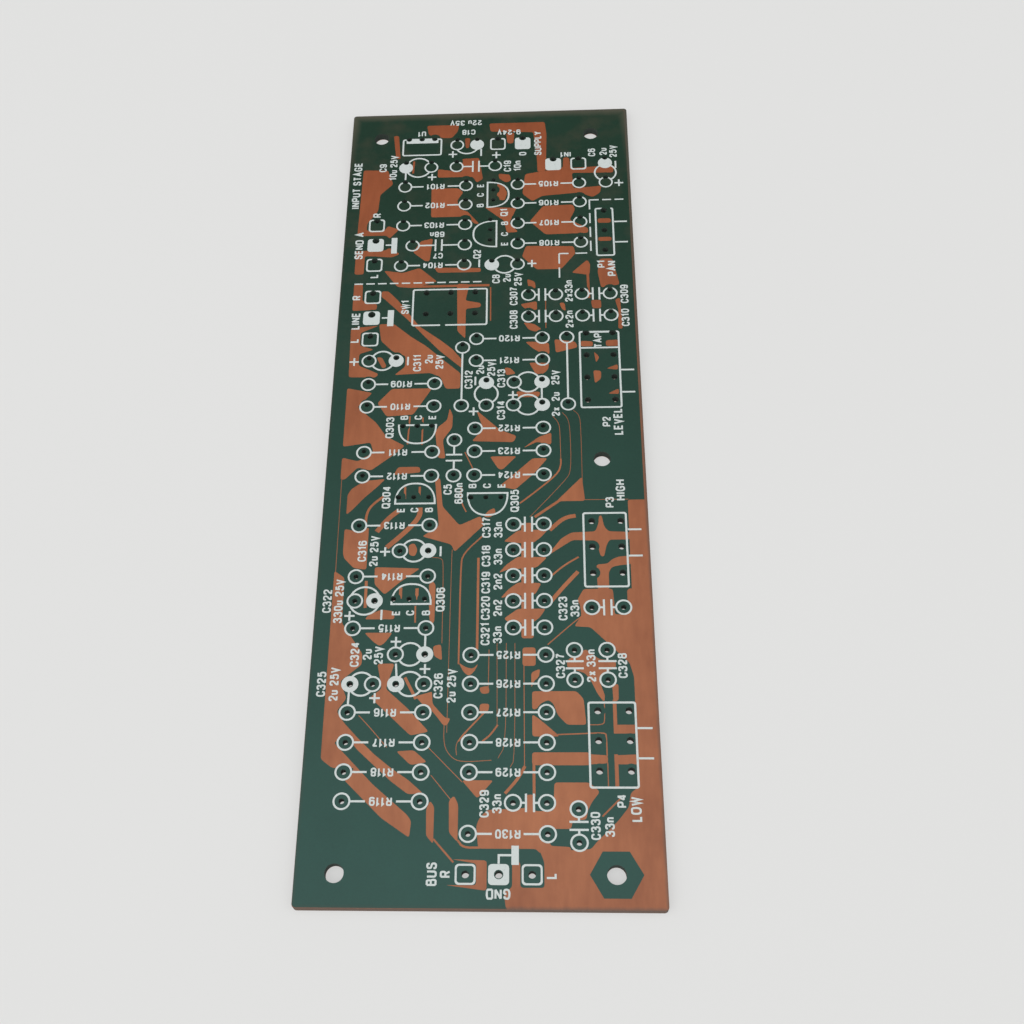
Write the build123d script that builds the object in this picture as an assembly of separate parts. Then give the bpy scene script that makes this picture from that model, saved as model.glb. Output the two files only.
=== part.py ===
"""Bare circuit board of a preamplifier.

A brown copper-clad laminate with its etched foil below, and the green print of the same tracks above.
The board lies flat: X runs across it, Y along it to the far edge, Z up through its thickness.
The origin is at the middle of the foil's lower face.
"""
import os
from build123d import *

# Board, in millimetres
BOARD_WIDTH = 57.0
BOARD_LENGTH = 164.0
LAMINATE_THICKNESS = 1.6
FOIL_THICKNESS = 0.035
INK_THICKNESS = 0.02
CORNER_RADIUS = 0.6
TRACK_MARGIN = 0.4
TRACK_GAP = 0.5

# Screw holes
SCREW_HOLE_DIAMETER = 3.0
SCREW_INSET_LEFT = 6.2
SCREW_INSET_RIGHT = 7.6
SCREW_INSET_FAR = 6.7
SCREW_INSET_NEAR = 5.3
SCREW_SPACING_ACROSS = BOARD_WIDTH - SCREW_INSET_LEFT - SCREW_INSET_RIGHT
SCREW_SPACING_ALONG = BOARD_LENGTH - SCREW_INSET_FAR - SCREW_INSET_NEAR
SCREW_LAND_WIDTH = 8.2

# Lead holes and the pitches of the parts that they take
LEAD_HOLE_DIAMETER = 1.0
TAG_HOLE_DIAMETER = 1.3
RESISTOR_PITCH = 12.35
TRANSISTOR_PITCH = 2.65
CONTROL_PITCH = 5.0
GANG_PITCH = 5.0
SWITCH_PITCH_ACROSS = 4.7
SWITCH_PITCH_ALONG = 5.0
TERMINAL_PITCH = 5.1
HOLE_OVERRUN = 1.0

# Sides of the small lead holes and of the land round one screw hole
LEAD_HOLE_SIDES = 6
LAND_SIDES = 6

# Places are in thousandths: of the width from the left edge, and of the length from the far edge
THOUSANDTH = 0.001
MIDDLE_SHARE = 500
MIDDLE_SCREW_SHARE = 518.9

# Middle of each resistor: a column's place across, and its rows along
RESISTOR_COLUMN_SHARES = (
    (312, (114, 145, 177, 240)),
    (712, (114, 145, 177, 209)),
    (225, (413, 444, 505, 536, 598, 659, 718, 809, 840, 870, 899)),
    (576, (351, 382, 475, 505, 536, 748, 779, 809, 840, 870, 930)),
)

# The two leads of each capacitor and wire link
CAPACITOR_LEAD_SHARES = (
    ((240, 209), (421, 209)), ((385, 82), (523, 82)), ((640, 288), (731, 288)), ((819, 288), (913, 288)),
    ((640, 320), (731, 320)), ((819, 320), (913, 320)), ((403, 490), (403, 536)), ((590, 598), (682, 598)),
    ((590, 629), (682, 629)), ((590, 659), (682, 659)), ((590, 688), (682, 688)), ((590, 718), (682, 718)),
    ((821, 696), (914, 696)), ((767, 743), (767, 775)), ((861, 743), (861, 775)), ((590, 900), (683, 900)),
    ((769, 906), (769, 938)), ((385, 45), (457, 45)), ((203, 82), (294, 82)), ((914, 82), (914, 114)),
    ((515, 241), (603, 241)), ((114, 380), (204, 380)), ((592, 413), (682, 413)), ((590, 444), (682, 444)),
    ((502, 413), (502, 444)), ((246, 629), (332, 629)), ((118, 687), (177, 687)), ((247, 747), (333, 747)),
    ((119, 779), (185, 779)), ((252, 779), (333, 779)), ((422, 363), (422, 444)), ((765, 351), (765, 444)),
)

# Middle lead of each transistor or regulator, and whether its leads run across or along the board
TRANSISTOR_SHARES = (
    (256, 43, "across"), (518, 130, "along"), (508, 193, "along"), (283, 473, "across"),
    (281, 564, "across"), (505, 565, "across"), (280, 685, "across"),
)

# Middle of each control's tags, with its count across and along
CONTROL_SHARES = ((903, 198, 1, 3), (872, 396, 2, 4), (872, 626, 2, 3), (873, 838, 2, 3))
SWITCH_SHARES = (378, 303, 3, 2)

# Middle of each terminal row, with its count across and along
TERMINAL_SHARES = ((577, 45, 2, 1), (775, 82, 2, 1), (111, 207, 1, 3), (113, 318, 1, 3), (552, 968, 3, 1))

# Bare fields between the tracks, where the foil is etched away and the print leaves the laminate open
MICROPHONE_BARE_SHARES = (
    ((272, 20), (390, 20), (386, 31), (365, 42), (335, 42), (280, 36)),
    ((155, 36), (171, 36), (178, 67), (162, 66)),
    ((500, 19), (702, 19), (708, 40), (704, 101), (674, 103), (672, 78), (660, 36), (505, 33)),
    ((630, 106), (764, 97), (766, 80), (787, 80), (792, 98), (944, 95), (942, 107), (796, 106),
     (800, 131), (898, 128), (893, 139), (866, 146), (820, 138), (690, 142), (655, 150), (620, 138)),
    ((693, 158), (796, 157), (804, 165), (784, 181), (848, 195), (846, 202), (700, 203), (645, 182)),
    ((487, 158), (600, 160), (574, 184), (606, 198), (566, 199), (556, 180), (530, 172)),
    ((318, 94), (404, 100), (402, 78), (465, 77), (480, 112), (458, 118), (444, 108), (318, 108)),
    ((298, 126), (392, 126), (412, 133), (390, 146), (400, 160), (428, 164), (455, 180), (422, 172),
     (300, 172)),
    ((50, 93), (138, 94), (160, 117), (116, 134), (112, 160), (76, 180), (76, 191), (140, 191), (150, 184),
     (190, 190), (158, 204), (147, 199), (44, 199)),
    ((44, 222), (147, 222), (158, 218), (198, 228), (170, 233), (76, 230), (76, 258), (44, 258)),
    ((268, 209), (310, 205), (301, 240), (286, 240), (242, 226)),
    ((145, 253), (212, 257), (268, 250), (330, 271), (250, 280), (195, 278)),
    ((632, 220), (795, 222), (801, 233), (752, 256), (668, 256), (618, 236)),
    ((840, 243), (850, 250), (846, 266), (786, 262)),
    ((882, 242), (925, 242), (946, 281), (884, 285), (874, 262)),
)
INPUT_BARE_SHARES = (
    ((612, 307), (668, 303), (668, 316), (628, 314)),
    ((628, 361), (655, 361), (712, 371), (708, 378), (662, 376)),
    ((724, 358), (793, 362), (800, 370), (728, 377)),
    ((398, 275), (440, 276), (428, 300), (480, 304), (480, 310), (430, 312), (430, 355), (403, 344)),
    ((140, 284), (162, 284), (332, 346), (424, 392), (404, 394), (330, 357), (146, 293)),
    ((140, 330), (196, 329), (262, 352), (412, 410), (412, 424), (370, 424), (352, 408), (318, 402), (200, 404),
     (234, 393), (234, 378), (190, 371), (150, 356)),
    ((46, 272), (76, 273), (78, 298), (130, 303), (128, 311), (46, 312)),
    ((46, 337), (140, 334), (80, 344), (80, 362), (128, 368), (80, 374), (80, 390), (148, 402), (140, 407),
     (50, 406)),
)
VOLUME_BARE_SHARES = (
    ((48, 421), (132, 428), (86, 447), (150, 468), (184, 486), (246, 499), (206, 512), (142, 530), (100, 526),
     (62, 541), (48, 541), (48, 513), (100, 518), (146, 506), (136, 494), (48, 499)),
    ((195, 423), (326, 423), (268, 458), (182, 460), (150, 442)),
    ((385, 450), (396, 460), (395, 476), (366, 492), (376, 516), (352, 515), (340, 478), (378, 466)),
    ((470, 453), (548, 480), (600, 488), (590, 496), (458, 494), (494, 478)),
    ((636, 388), (700, 396), (668, 406)),
    ((620, 504), (668, 490), (710, 484), (709, 500), (664, 496)),
    ((516, 514), (600, 514), (556, 531), (543, 530)),
    ((650, 517), (697, 517), (655, 536), (596, 556), (545, 552), (600, 534)),
    ((802, 541), (810, 571), (722, 571)),
    ((72, 562), (125, 543), (180, 545), (125, 566), (80, 577)),
    ((228, 526), (296, 526), (300, 533), (215, 536)),
    ((345, 540), (362, 541), (372, 576), (425, 599), (490, 588), (500, 599), (412, 631), (402, 622),
     (312, 612), (362, 600)),
)
TREBLE_BARE_SHARES = (
    ((74, 603), (118, 609), (147, 603), (147, 651), (106, 648), (76, 637)),
    ((172, 648), (310, 650), (250, 666), (206, 680), (174, 668)),
    ((165, 706), (195, 699), (236, 708)),
    ((158, 724), (232, 724), (205, 738)),
    ((566, 618), (618, 606), (694, 605), (652, 622), (652, 638), (690, 639), (652, 652), (652, 668), (676, 669),
     (652, 681), (652, 698), (684, 698), (652, 712), (652, 731), (614, 731), (614, 712), (566, 708),
     (614, 697), (614, 681), (556, 684), (614, 667), (614, 651), (552, 655), (614, 637), (614, 622)),
    ((940, 570), (1000, 570), (1000, 1000), (572, 1000), (566, 984), (588, 980), (588, 956), (610, 956),
     (610, 980), (674, 980), (674, 956), (660, 944), (744, 945), (800, 945), (880, 918), (936, 886), (936, 758),
     (815, 718), (768, 717), (800, 708), (940, 708)),
    ((778, 688), (800, 676), (880, 675), (880, 708), (846, 708), (840, 688)),
    ((688, 637), (766, 610), (846, 608), (860, 592), (876, 609), (940, 609), (940, 618), (874, 618), (866, 640),
     (852, 637), (850, 618), (752, 620)),
    ((704, 679), (782, 653), (786, 656), (718, 690), (684, 704)),
    ((745, 754), (800, 742), (838, 753), (885, 755), (885, 762), (830, 775), (745, 762)),
)
BASS_BARE_SHARES = (
    ((50, 652), (82, 660), (84, 712), (150, 746), (150, 758), (90, 776), (112, 794), (86, 808), (150, 837),
     (262, 874), (345, 891), (300, 891), (200, 858), (122, 829), (80, 840), (120, 853), (200, 882), (300, 912),
     (310, 921), (308, 942), (228, 917), (120, 878), (148, 866), (84, 866), (50, 857)),
    ((196, 757), (246, 757), (224, 784), (290, 805), (352, 829), (300, 833), (180, 793), (212, 784)),
    ((617, 740), (655, 740), (655, 760), (617, 760)),
    ((644, 787), (772, 787), (793, 798), (786, 822), (750, 822), (664, 797), (656, 812), (702, 833), (644, 834)),
    ((643, 850), (798, 850), (798, 863), (643, 862)),
    ((448, 878), (536, 878), (492, 896)),
    ((490, 922), (512, 912), (626, 906), (626, 892), (648, 892), (648, 908), (700, 908), (704, 880), (798, 880),
     (828, 888), (744, 902), (748, 922), (740, 926), (660, 922), (652, 936), (652, 941), (496, 944)),
    ((414, 898), (428, 893), (440, 902), (440, 938), (416, 929)),
    ((352, 906), (362, 898), (374, 904), (374, 940), (354, 932)),
    ((425, 954), (520, 955), (520, 983), (410, 978), (492, 978), (492, 958)),
)
BARE_FIELD_SHARES = (
    MICROPHONE_BARE_SHARES + INPUT_BARE_SHARES + VOLUME_BARE_SHARES + TREBLE_BARE_SHARES + BASS_BARE_SHARES
)

# Two ends of each narrow gap that parts one track from the next
TRACK_GAP_SHARES = (
    ((840, 258), (842, 300)), ((715, 465), (737, 480)), ((737, 480), (738, 528)), ((738, 528), (610, 573)),
    ((768, 468), (770, 535)), ((770, 535), (640, 590)), ((803, 462), (800, 552)), ((740, 568), (655, 590)),
    ((240, 579), (178, 600)), ((300, 588), (208, 624)), ((258, 460), (254, 497)), ((300, 462), (300, 498)),
    ((255, 550), (258, 572)), ((298, 552), (300, 572)), ((256, 672), (257, 690)), ((301, 672), (301, 690)),
    ((85, 570), (84, 610)), ((52, 536), (54, 660)), ((700, 606), (788, 589)), ((705, 660), (780, 638)),
    ((700, 737), (790, 706)), ((380, 645), (382, 735)), ((402, 622), (402, 830)), ((500, 612), (432, 640)),
    ((432, 640), (432, 755)), ((488, 636), (486, 742)), ((275, 775), (305, 790)), ((358, 802), (412, 818)),
    ((345, 843), (450, 880)), ((545, 735), (545, 822)), ((570, 735), (570, 830)), ((595, 735), (595, 860)),
    ((621, 740), (622, 870)), ((638, 862), (638, 892)), ((850, 800), (850, 885)), ((878, 800), (878, 885)),
    ((374, 935), (430, 957)), ((440, 936), (496, 943)),
)


def plan_point(x_share, y_share):
    """Place on the board's plan, in millimetres from its middle."""
    across = (x_share - MIDDLE_SHARE) * THOUSANDTH * BOARD_WIDTH
    along = (MIDDLE_SHARE - y_share) * THOUSANDTH * BOARD_LENGTH
    return across, along


def lead_grid(x_share, y_share, count_across, count_along, pitch_across, pitch_along):
    """Places of a grid of leads about its middle."""
    middle = Pos(*plan_point(x_share, y_share))
    return [middle * place for place in GridLocations(pitch_across, pitch_along, count_across, count_along)]


def lead_places():
    """Places of the thin leads: resistors, capacitors, links and transistors."""
    places = []
    for x_share, row_shares in RESISTOR_COLUMN_SHARES:
        for y_share in row_shares:
            places += lead_grid(x_share, y_share, 2, 1, RESISTOR_PITCH, RESISTOR_PITCH)
    for ends in CAPACITOR_LEAD_SHARES:
        places += [Pos(*plan_point(*end)) for end in ends]
    for x_share, y_share, run in TRANSISTOR_SHARES:
        counts = (3, 1) if run == "across" else (1, 3)
        places += lead_grid(x_share, y_share, *counts, TRANSISTOR_PITCH, TRANSISTOR_PITCH)
    return places


def tag_places():
    """Places of the stiff tags: controls, switch and terminals."""
    places = lead_grid(*SWITCH_SHARES, SWITCH_PITCH_ACROSS, SWITCH_PITCH_ALONG)
    for control in CONTROL_SHARES:
        places += lead_grid(*control, GANG_PITCH, CONTROL_PITCH)
    for terminal in TERMINAL_SHARES:
        places += lead_grid(*terminal, TERMINAL_PITCH, TERMINAL_PITCH)
    return places


def screw_places():
    """Places of the four corner screw holes and the one at the middle of the right edge."""
    left = SCREW_INSET_LEFT - BOARD_WIDTH / 2
    far = BOARD_LENGTH / 2 - SCREW_INSET_FAR
    right = left + SCREW_SPACING_ACROSS
    near = far - SCREW_SPACING_ALONG
    middle = (MIDDLE_SHARE - MIDDLE_SCREW_SHARE) * THOUSANDTH * BOARD_LENGTH
    corners = [Pos(x, y) for x in (left, right) for y in (far, near)]
    return corners + [Pos(right, middle)]


def near_right_screw():
    """Place of the screw hole that stands in a land of its own."""
    return screw_places()[3]


def board_outline(margin):
    """Plan of the board, drawn in by a margin all round."""
    return RectangleRounded(BOARD_WIDTH - 2 * margin, BOARD_LENGTH - 2 * margin, CORNER_RADIUS)


def gap_face(start_share, end_share):
    """Plan of one narrow gap between two tracks."""
    line = Line(plan_point(*start_share), plan_point(*end_share))
    turn = Rot(0, 0, line.tangent_angle_at(0))
    middle = (line @ 0 + line @ 1) / 2
    return Pos(middle) * turn * Rectangle(line.length, TRACK_GAP)


def track_faces():
    """Plan of every track: the whole sheet less the bare fields and gaps, with the screw land put back."""
    bare = [Polygon(*[plan_point(*point) for point in field], align=None) for field in BARE_FIELD_SHARES]
    bare += [gap_face(*ends) for ends in TRACK_GAP_SHARES]
    land = near_right_screw() * RegularPolygon(SCREW_LAND_WIDTH / 2, LAND_SIDES)
    return board_outline(TRACK_MARGIN) - bare + land


def board_holes():
    """Tools that open every hole right through the board."""
    height = FOIL_THICKNESS + LAMINATE_THICKNESS + INK_THICKNESS + 2 * HOLE_OVERRUN
    lead = extrude(RegularPolygon(LEAD_HOLE_DIAMETER / 2, LEAD_HOLE_SIDES), height)
    tag = extrude(RegularPolygon(TAG_HOLE_DIAMETER / 2, LEAD_HOLE_SIDES), height)
    screw = extrude(Circle(SCREW_HOLE_DIAMETER / 2), height)
    below = Pos(0, 0, -HOLE_OVERRUN)
    tools = [below * place * lead for place in lead_places()]
    tools += [below * place * tag for place in tag_places()]
    tools += [below * place * screw for place in screw_places()]
    return tools


def circuit_board():
    """The laminate with its etched foil bonded below, the track print above, and every hole."""
    tracks = track_faces()
    foil = extrude(tracks, FOIL_THICKNESS)
    sheet = Pos(0, 0, FOIL_THICKNESS) * extrude(board_outline(0), LAMINATE_THICKNESS)
    ink = Pos(0, 0, FOIL_THICKNESS + LAMINATE_THICKNESS) * extrude(tracks, INK_THICKNESS)
    return sheet + foil.solids() + ink.solids() - board_holes()


os.makedirs("parts", exist_ok=True)
export_step(circuit_board(), "parts/circuit_board.step")
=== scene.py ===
"""Look of a bare preamplifier circuit board: laminate, copper tracks, green track print and white legend.

Plan places are in thousandths: of the board's width from its left edge, and of its length from its far edge.
Plan shapes are drawn in millimetres about the board's middle and become metres when a mesh is made.
"""
import logging
import math
from collections import Counter
from dataclasses import dataclass, field
from enum import Enum
from typing import Any, Iterable, Optional, Sequence, Union

import bpy
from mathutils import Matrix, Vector
from mathutils.geometry import delaunay_2d_cdt


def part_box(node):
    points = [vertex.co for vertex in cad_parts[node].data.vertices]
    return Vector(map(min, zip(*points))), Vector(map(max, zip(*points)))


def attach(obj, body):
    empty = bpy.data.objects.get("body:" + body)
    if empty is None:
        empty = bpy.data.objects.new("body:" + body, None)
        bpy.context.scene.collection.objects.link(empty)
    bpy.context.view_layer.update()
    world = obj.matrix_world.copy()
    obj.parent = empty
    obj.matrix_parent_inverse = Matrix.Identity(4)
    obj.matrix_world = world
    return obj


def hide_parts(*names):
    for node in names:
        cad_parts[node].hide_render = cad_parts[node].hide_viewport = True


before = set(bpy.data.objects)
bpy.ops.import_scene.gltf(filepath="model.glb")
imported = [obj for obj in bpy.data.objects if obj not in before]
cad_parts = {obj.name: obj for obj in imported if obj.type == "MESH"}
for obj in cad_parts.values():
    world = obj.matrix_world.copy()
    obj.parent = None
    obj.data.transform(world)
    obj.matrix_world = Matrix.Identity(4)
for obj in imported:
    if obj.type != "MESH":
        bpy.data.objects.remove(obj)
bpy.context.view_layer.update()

LOG = logging.getLogger("circuit_board")
MM = 0.001
THOUSANDTH = 0.001
MIDDLE_SHARE = 500.0

Point = tuple[float, float]
Share = tuple[float, float]
Span = tuple[float, float]
Pair = tuple[Point, Point]
Edges = tuple[float, float, float, float]
Triple = tuple[float, float, float]
Colour = Triple
Loop = list[Point]


class Turn(Enum):
    """How a piece of lettering is turned on the board, in degrees."""

    UPWARD = 90.0
    INVERTED = 180.0


class Run(Enum):
    """Which way a row of leads runs."""

    ACROSS = "across"
    ALONG = "along"


class Pen(Enum):
    """How a letter's line runs between its points."""

    STRAIGHT = "straight"
    SMOOTH = "smooth"


PenLine = tuple[Pen, tuple[Point, ...]]


def bent(*points: Point) -> PenLine:
    """Write a letter's line that runs straight from point to point."""
    return Pen.STRAIGHT, points


def curved(*points: Point) -> PenLine:
    """Write a letter's line that curves past its inner points."""
    return Pen.SMOOTH, points


class Flat(Enum):
    """The side of a transistor's outline that is flat."""

    LEFT = "left"
    RIGHT = "right"
    FAR = "far"
    NEAR = "near"


# Holes, by the part that they take
RESISTOR_COLUMN_SHARES = (
    (312, (114, 145, 177, 240)),
    (712, (114, 145, 177, 209)),
    (225, (413, 444, 505, 536, 598, 659, 718, 809, 840, 870, 899)),
    (576, (351, 382, 475, 505, 536, 748, 779, 809, 840, 870, 930)),
)
FILM_CAPACITOR_SHARES = (
    ((240, 209), (421, 209)), ((385, 82), (523, 82)), ((640, 288), (731, 288)), ((819, 288), (913, 288)),
    ((640, 320), (731, 320)), ((819, 320), (913, 320)), ((403, 490), (403, 536)), ((590, 598), (682, 598)),
    ((590, 629), (682, 629)), ((590, 659), (682, 659)), ((590, 688), (682, 688)), ((590, 718), (682, 718)),
    ((821, 696), (914, 696)), ((767, 743), (767, 775)), ((861, 743), (861, 775)), ((590, 900), (683, 900)),
    ((769, 906), (769, 938)),
)
ELECTROLYTIC_SHARES = (
    ((385, 45), (457, 45), 2.6), ((294, 82), (203, 82), 2.7), ((914, 114), (914, 82), 2.3),
    ((603, 241), (515, 241), 2.3), ((114, 380), (204, 380), 2.3), ((592, 413), (682, 413), 2.35),
    ((590, 444), (682, 444), 2.35), ((502, 444), (502, 413), 2.3), ((246, 629), (332, 629), 2.3),
    ((118, 687), (177, 687), 2.75), ((247, 747), (333, 747), 2.2), ((185, 779), (119, 779), 2.2),
    ((333, 779), (252, 779), 2.3),
)
WIRE_LINK_SHARES = (((422, 363), (422, 444)), ((765, 351), (765, 444)))
TRANSISTOR_SHARES = (
    (256, 43, Run.ACROSS), (518, 130, Run.ALONG), (508, 193, Run.ALONG), (283, 473, Run.ACROSS),
    (281, 564, Run.ACROSS), (505, 565, Run.ACROSS), (280, 685, Run.ACROSS),
)
CONTROL_SHARES = ((903, 198, 1, 3), (872, 396, 2, 4), (872, 626, 2, 3), (873, 838, 2, 3))
SWITCH_SHARES = (378, 303, 3, 2)
TERMINAL_SHARES = ((577, 45, 2, 1), (775, 82, 2, 1), (111, 207, 1, 3), (113, 318, 1, 3), (552, 968, 3, 1))
FILLED_TERMINAL_SHARES = ((622, 45), (730, 82), (111, 207), (113, 318), (552, 968))

# Bare fields between the tracks
BARE_FIELD_SHARES = (
    ((272, 20), (390, 20), (386, 31), (365, 42), (335, 42), (280, 36)),
    ((152, 36), (171, 36), (181, 76), (165, 74)),
    ((500, 19), (702, 19), (708, 40), (704, 101), (674, 103), (672, 78), (660, 36), (505, 33)),
    ((630, 106), (764, 97), (766, 80), (787, 80), (792, 98), (944, 95), (942, 107), (796, 106),
     (800, 131), (898, 128), (893, 139), (866, 146), (820, 138), (690, 142), (655, 150), (620, 138)),
    ((693, 158), (796, 157), (804, 165), (784, 181), (848, 195), (846, 202), (700, 203), (645, 182)),
    ((487, 158), (600, 160), (574, 184), (606, 198), (566, 199), (556, 180), (530, 172)),
    ((318, 94), (404, 100), (402, 78), (465, 77), (480, 112), (458, 118), (444, 108), (318, 108)),
    ((298, 126), (392, 126), (412, 133), (390, 146), (400, 160), (428, 164), (470, 184), (455, 184),
     (422, 172), (300, 172)),
    ((50, 93), (138, 94), (160, 117), (116, 134), (112, 160), (76, 180), (76, 191), (140, 191),
     (150, 184), (190, 190), (158, 204), (147, 199), (44, 199)),
    ((44, 222), (147, 222), (158, 218), (198, 228), (170, 233), (76, 230), (76, 258), (44, 258)),
    ((268, 209), (310, 205), (301, 240), (286, 240), (242, 226)),
    ((145, 253), (212, 257), (268, 250), (330, 271), (250, 280), (195, 278)),
    ((632, 220), (795, 222), (801, 233), (752, 256), (668, 256), (618, 236)),
    ((840, 243), (850, 250), (846, 266), (786, 262)),
    ((882, 242), (925, 242), (946, 281), (884, 285), (874, 262)),
    ((612, 307), (668, 303), (668, 316), (628, 314)),
    ((628, 361), (655, 361), (706, 363), (708, 379), (680, 377), (655, 371)),
    ((724, 358), (793, 362), (800, 370), (728, 377)),
    ((398, 275), (440, 276), (428, 300), (480, 304), (480, 310), (430, 312), (430, 355), (403, 344)),
    ((142, 284), (165, 284), (200, 298), (240, 318), (275, 336), (350, 357), (390, 370), (424, 386),
     (424, 397), (405, 391), (345, 371), (300, 353), (240, 328), (200, 313), (160, 298), (142, 292)),
    ((140, 332), (190, 332), (250, 351), (300, 364), (350, 381), (380, 391), (417, 403), (417, 424),
     (370, 424), (352, 408), (318, 402), (200, 404), (234, 393), (234, 378), (190, 371), (150, 356)),
    ((46, 272), (76, 273), (78, 298), (130, 303), (128, 311), (46, 312)),
    ((46, 337), (140, 334), (80, 344), (80, 362), (128, 368), (80, 374), (80, 390), (148, 402),
     (140, 407), (50, 406)),
    ((48, 421), (132, 428), (86, 447), (150, 468), (184, 486), (246, 499), (206, 512), (142, 530),
     (100, 526), (62, 541), (48, 541), (48, 513), (100, 518), (146, 506), (136, 494), (48, 499)),
    ((195, 423), (326, 423), (268, 458), (182, 460), (150, 442)),
    ((385, 450), (396, 460), (395, 476), (366, 492), (376, 516), (352, 515), (340, 478), (378, 466)),
    ((470, 453), (548, 480), (600, 488), (590, 496), (458, 494), (494, 478)),
    ((640, 390), (706, 391), (702, 400), (686, 406), (662, 406)),
    ((620, 504), (668, 490), (710, 484), (709, 500), (664, 496)),
    ((516, 514), (600, 514), (556, 531), (543, 530)),
    ((650, 517), (697, 517), (655, 536), (596, 556), (545, 552), (600, 534)),
    ((802, 541), (810, 571), (722, 571)),
    ((74, 560), (85, 553), (125, 543), (190, 541), (165, 551), (125, 565), (92, 579), (74, 585)),
    ((228, 526), (296, 526), (300, 533), (215, 536)),
    ((345, 540), (362, 541), (372, 576), (425, 599), (490, 588), (500, 599), (412, 631), (402, 622),
     (312, 612), (362, 600)),
    ((72, 602), (118, 606), (147, 600), (147, 651), (108, 649), (76, 637), (72, 630)),
    ((172, 648), (310, 650), (250, 666), (206, 680), (174, 668)),
    ((150, 708), (165, 702), (200, 697), (236, 699), (240, 708)),
    ((152, 723), (236, 723), (215, 734), (200, 738), (180, 733)),
    ((614, 597), (650, 597), (650, 730), (614, 730)),
    ((560, 619), (604, 606), (696, 605), (672, 615), (646, 622), (604, 621)),
    ((546, 656), (570, 646), (604, 637), (692, 638), (660, 650), (575, 652)),
    ((552, 685), (575, 675), (604, 667), (674, 668), (655, 681), (572, 683)),
    ((562, 708), (604, 697), (686, 697), (668, 707), (650, 712), (580, 713)),
    ((940, 570), (1000, 570), (1000, 1000), (572, 1000), (566, 984), (588, 980), (588, 956), (610, 956),
     (610, 980), (674, 980), (674, 956), (660, 944), (744, 945), (800, 944), (816, 937), (846, 927),
     (875, 917), (905, 904), (912, 890), (935, 884), (935, 772), (924, 757), (815, 718), (768, 717),
     (800, 708), (940, 708)),
    ((838, 647), (872, 646), (885, 641), (905, 638), (942, 637), (942, 647), (908, 648), (884, 650),
     (874, 656), (874, 676), (840, 676)),
    ((798, 675), (884, 675), (887, 690), (887, 704), (926, 704), (926, 676), (942, 674), (942, 712),
     (768, 717), (790, 705), (786, 692), (778, 688)),
    ((690, 637), (735, 616), (766, 609), (838, 608), (847, 600), (851, 589), (859, 589), (865, 602),
     (878, 608), (942, 609), (942, 618), (880, 618), (870, 625), (862, 638), (851, 637), (846, 627),
     (836, 619), (770, 618), (752, 622)),
    ((745, 754), (800, 742), (838, 753), (885, 755), (885, 762), (846, 768), (838, 778), (851, 792),
     (848, 799), (830, 790), (812, 776), (796, 768), (745, 762)),
    ((872, 781), (890, 779), (889, 797), (874, 798)),
    ((642, 767), (668, 763), (664, 772), (650, 776), (642, 784)),
    ((50, 652), (82, 660), (84, 712), (150, 746), (150, 758), (90, 776), (112, 794), (86, 808),
     (110, 820), (150, 835), (200, 852), (250, 866), (300, 878), (342, 891), (300, 892), (250, 879),
     (200, 863), (150, 847), (122, 834), (84, 840), (120, 853), (200, 882), (300, 912), (312, 918),
     (308, 934), (228, 915), (120, 878), (148, 866), (84, 866), (50, 857)),
    ((196, 757), (246, 757), (224, 784), (290, 805), (352, 829), (300, 833), (180, 793), (212, 784)),
    ((617, 740), (655, 740), (655, 760), (617, 760)),
    ((644, 787), (770, 787), (790, 795), (796, 822), (742, 822), (716, 812), (704, 800), (690, 796),
     (668, 800), (656, 806), (644, 806)),
    ((644, 811), (664, 816), (690, 824), (712, 831), (720, 834), (644, 834)),
    ((643, 850), (800, 850), (806, 852), (853, 853), (853, 861), (806, 862), (798, 863), (643, 863)),
    ((448, 878), (536, 878), (492, 896)),
    ((490, 922), (500, 914), (520, 907), (626, 905), (626, 892), (648, 892), (648, 908), (700, 908),
     (704, 880), (800, 880), (828, 889), (806, 899), (793, 908), (790, 916), (752, 917), (748, 925),
     (690, 925), (690, 941), (746, 942), (746, 947), (662, 948), (652, 944), (496, 944)),
    ((414, 898), (428, 893), (440, 902), (440, 938), (416, 929)),
    ((352, 906), (362, 898), (374, 904), (374, 940), (354, 932)),
    ((425, 954), (520, 955), (520, 983), (410, 978), (492, 978), (492, 958)),
)

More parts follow.
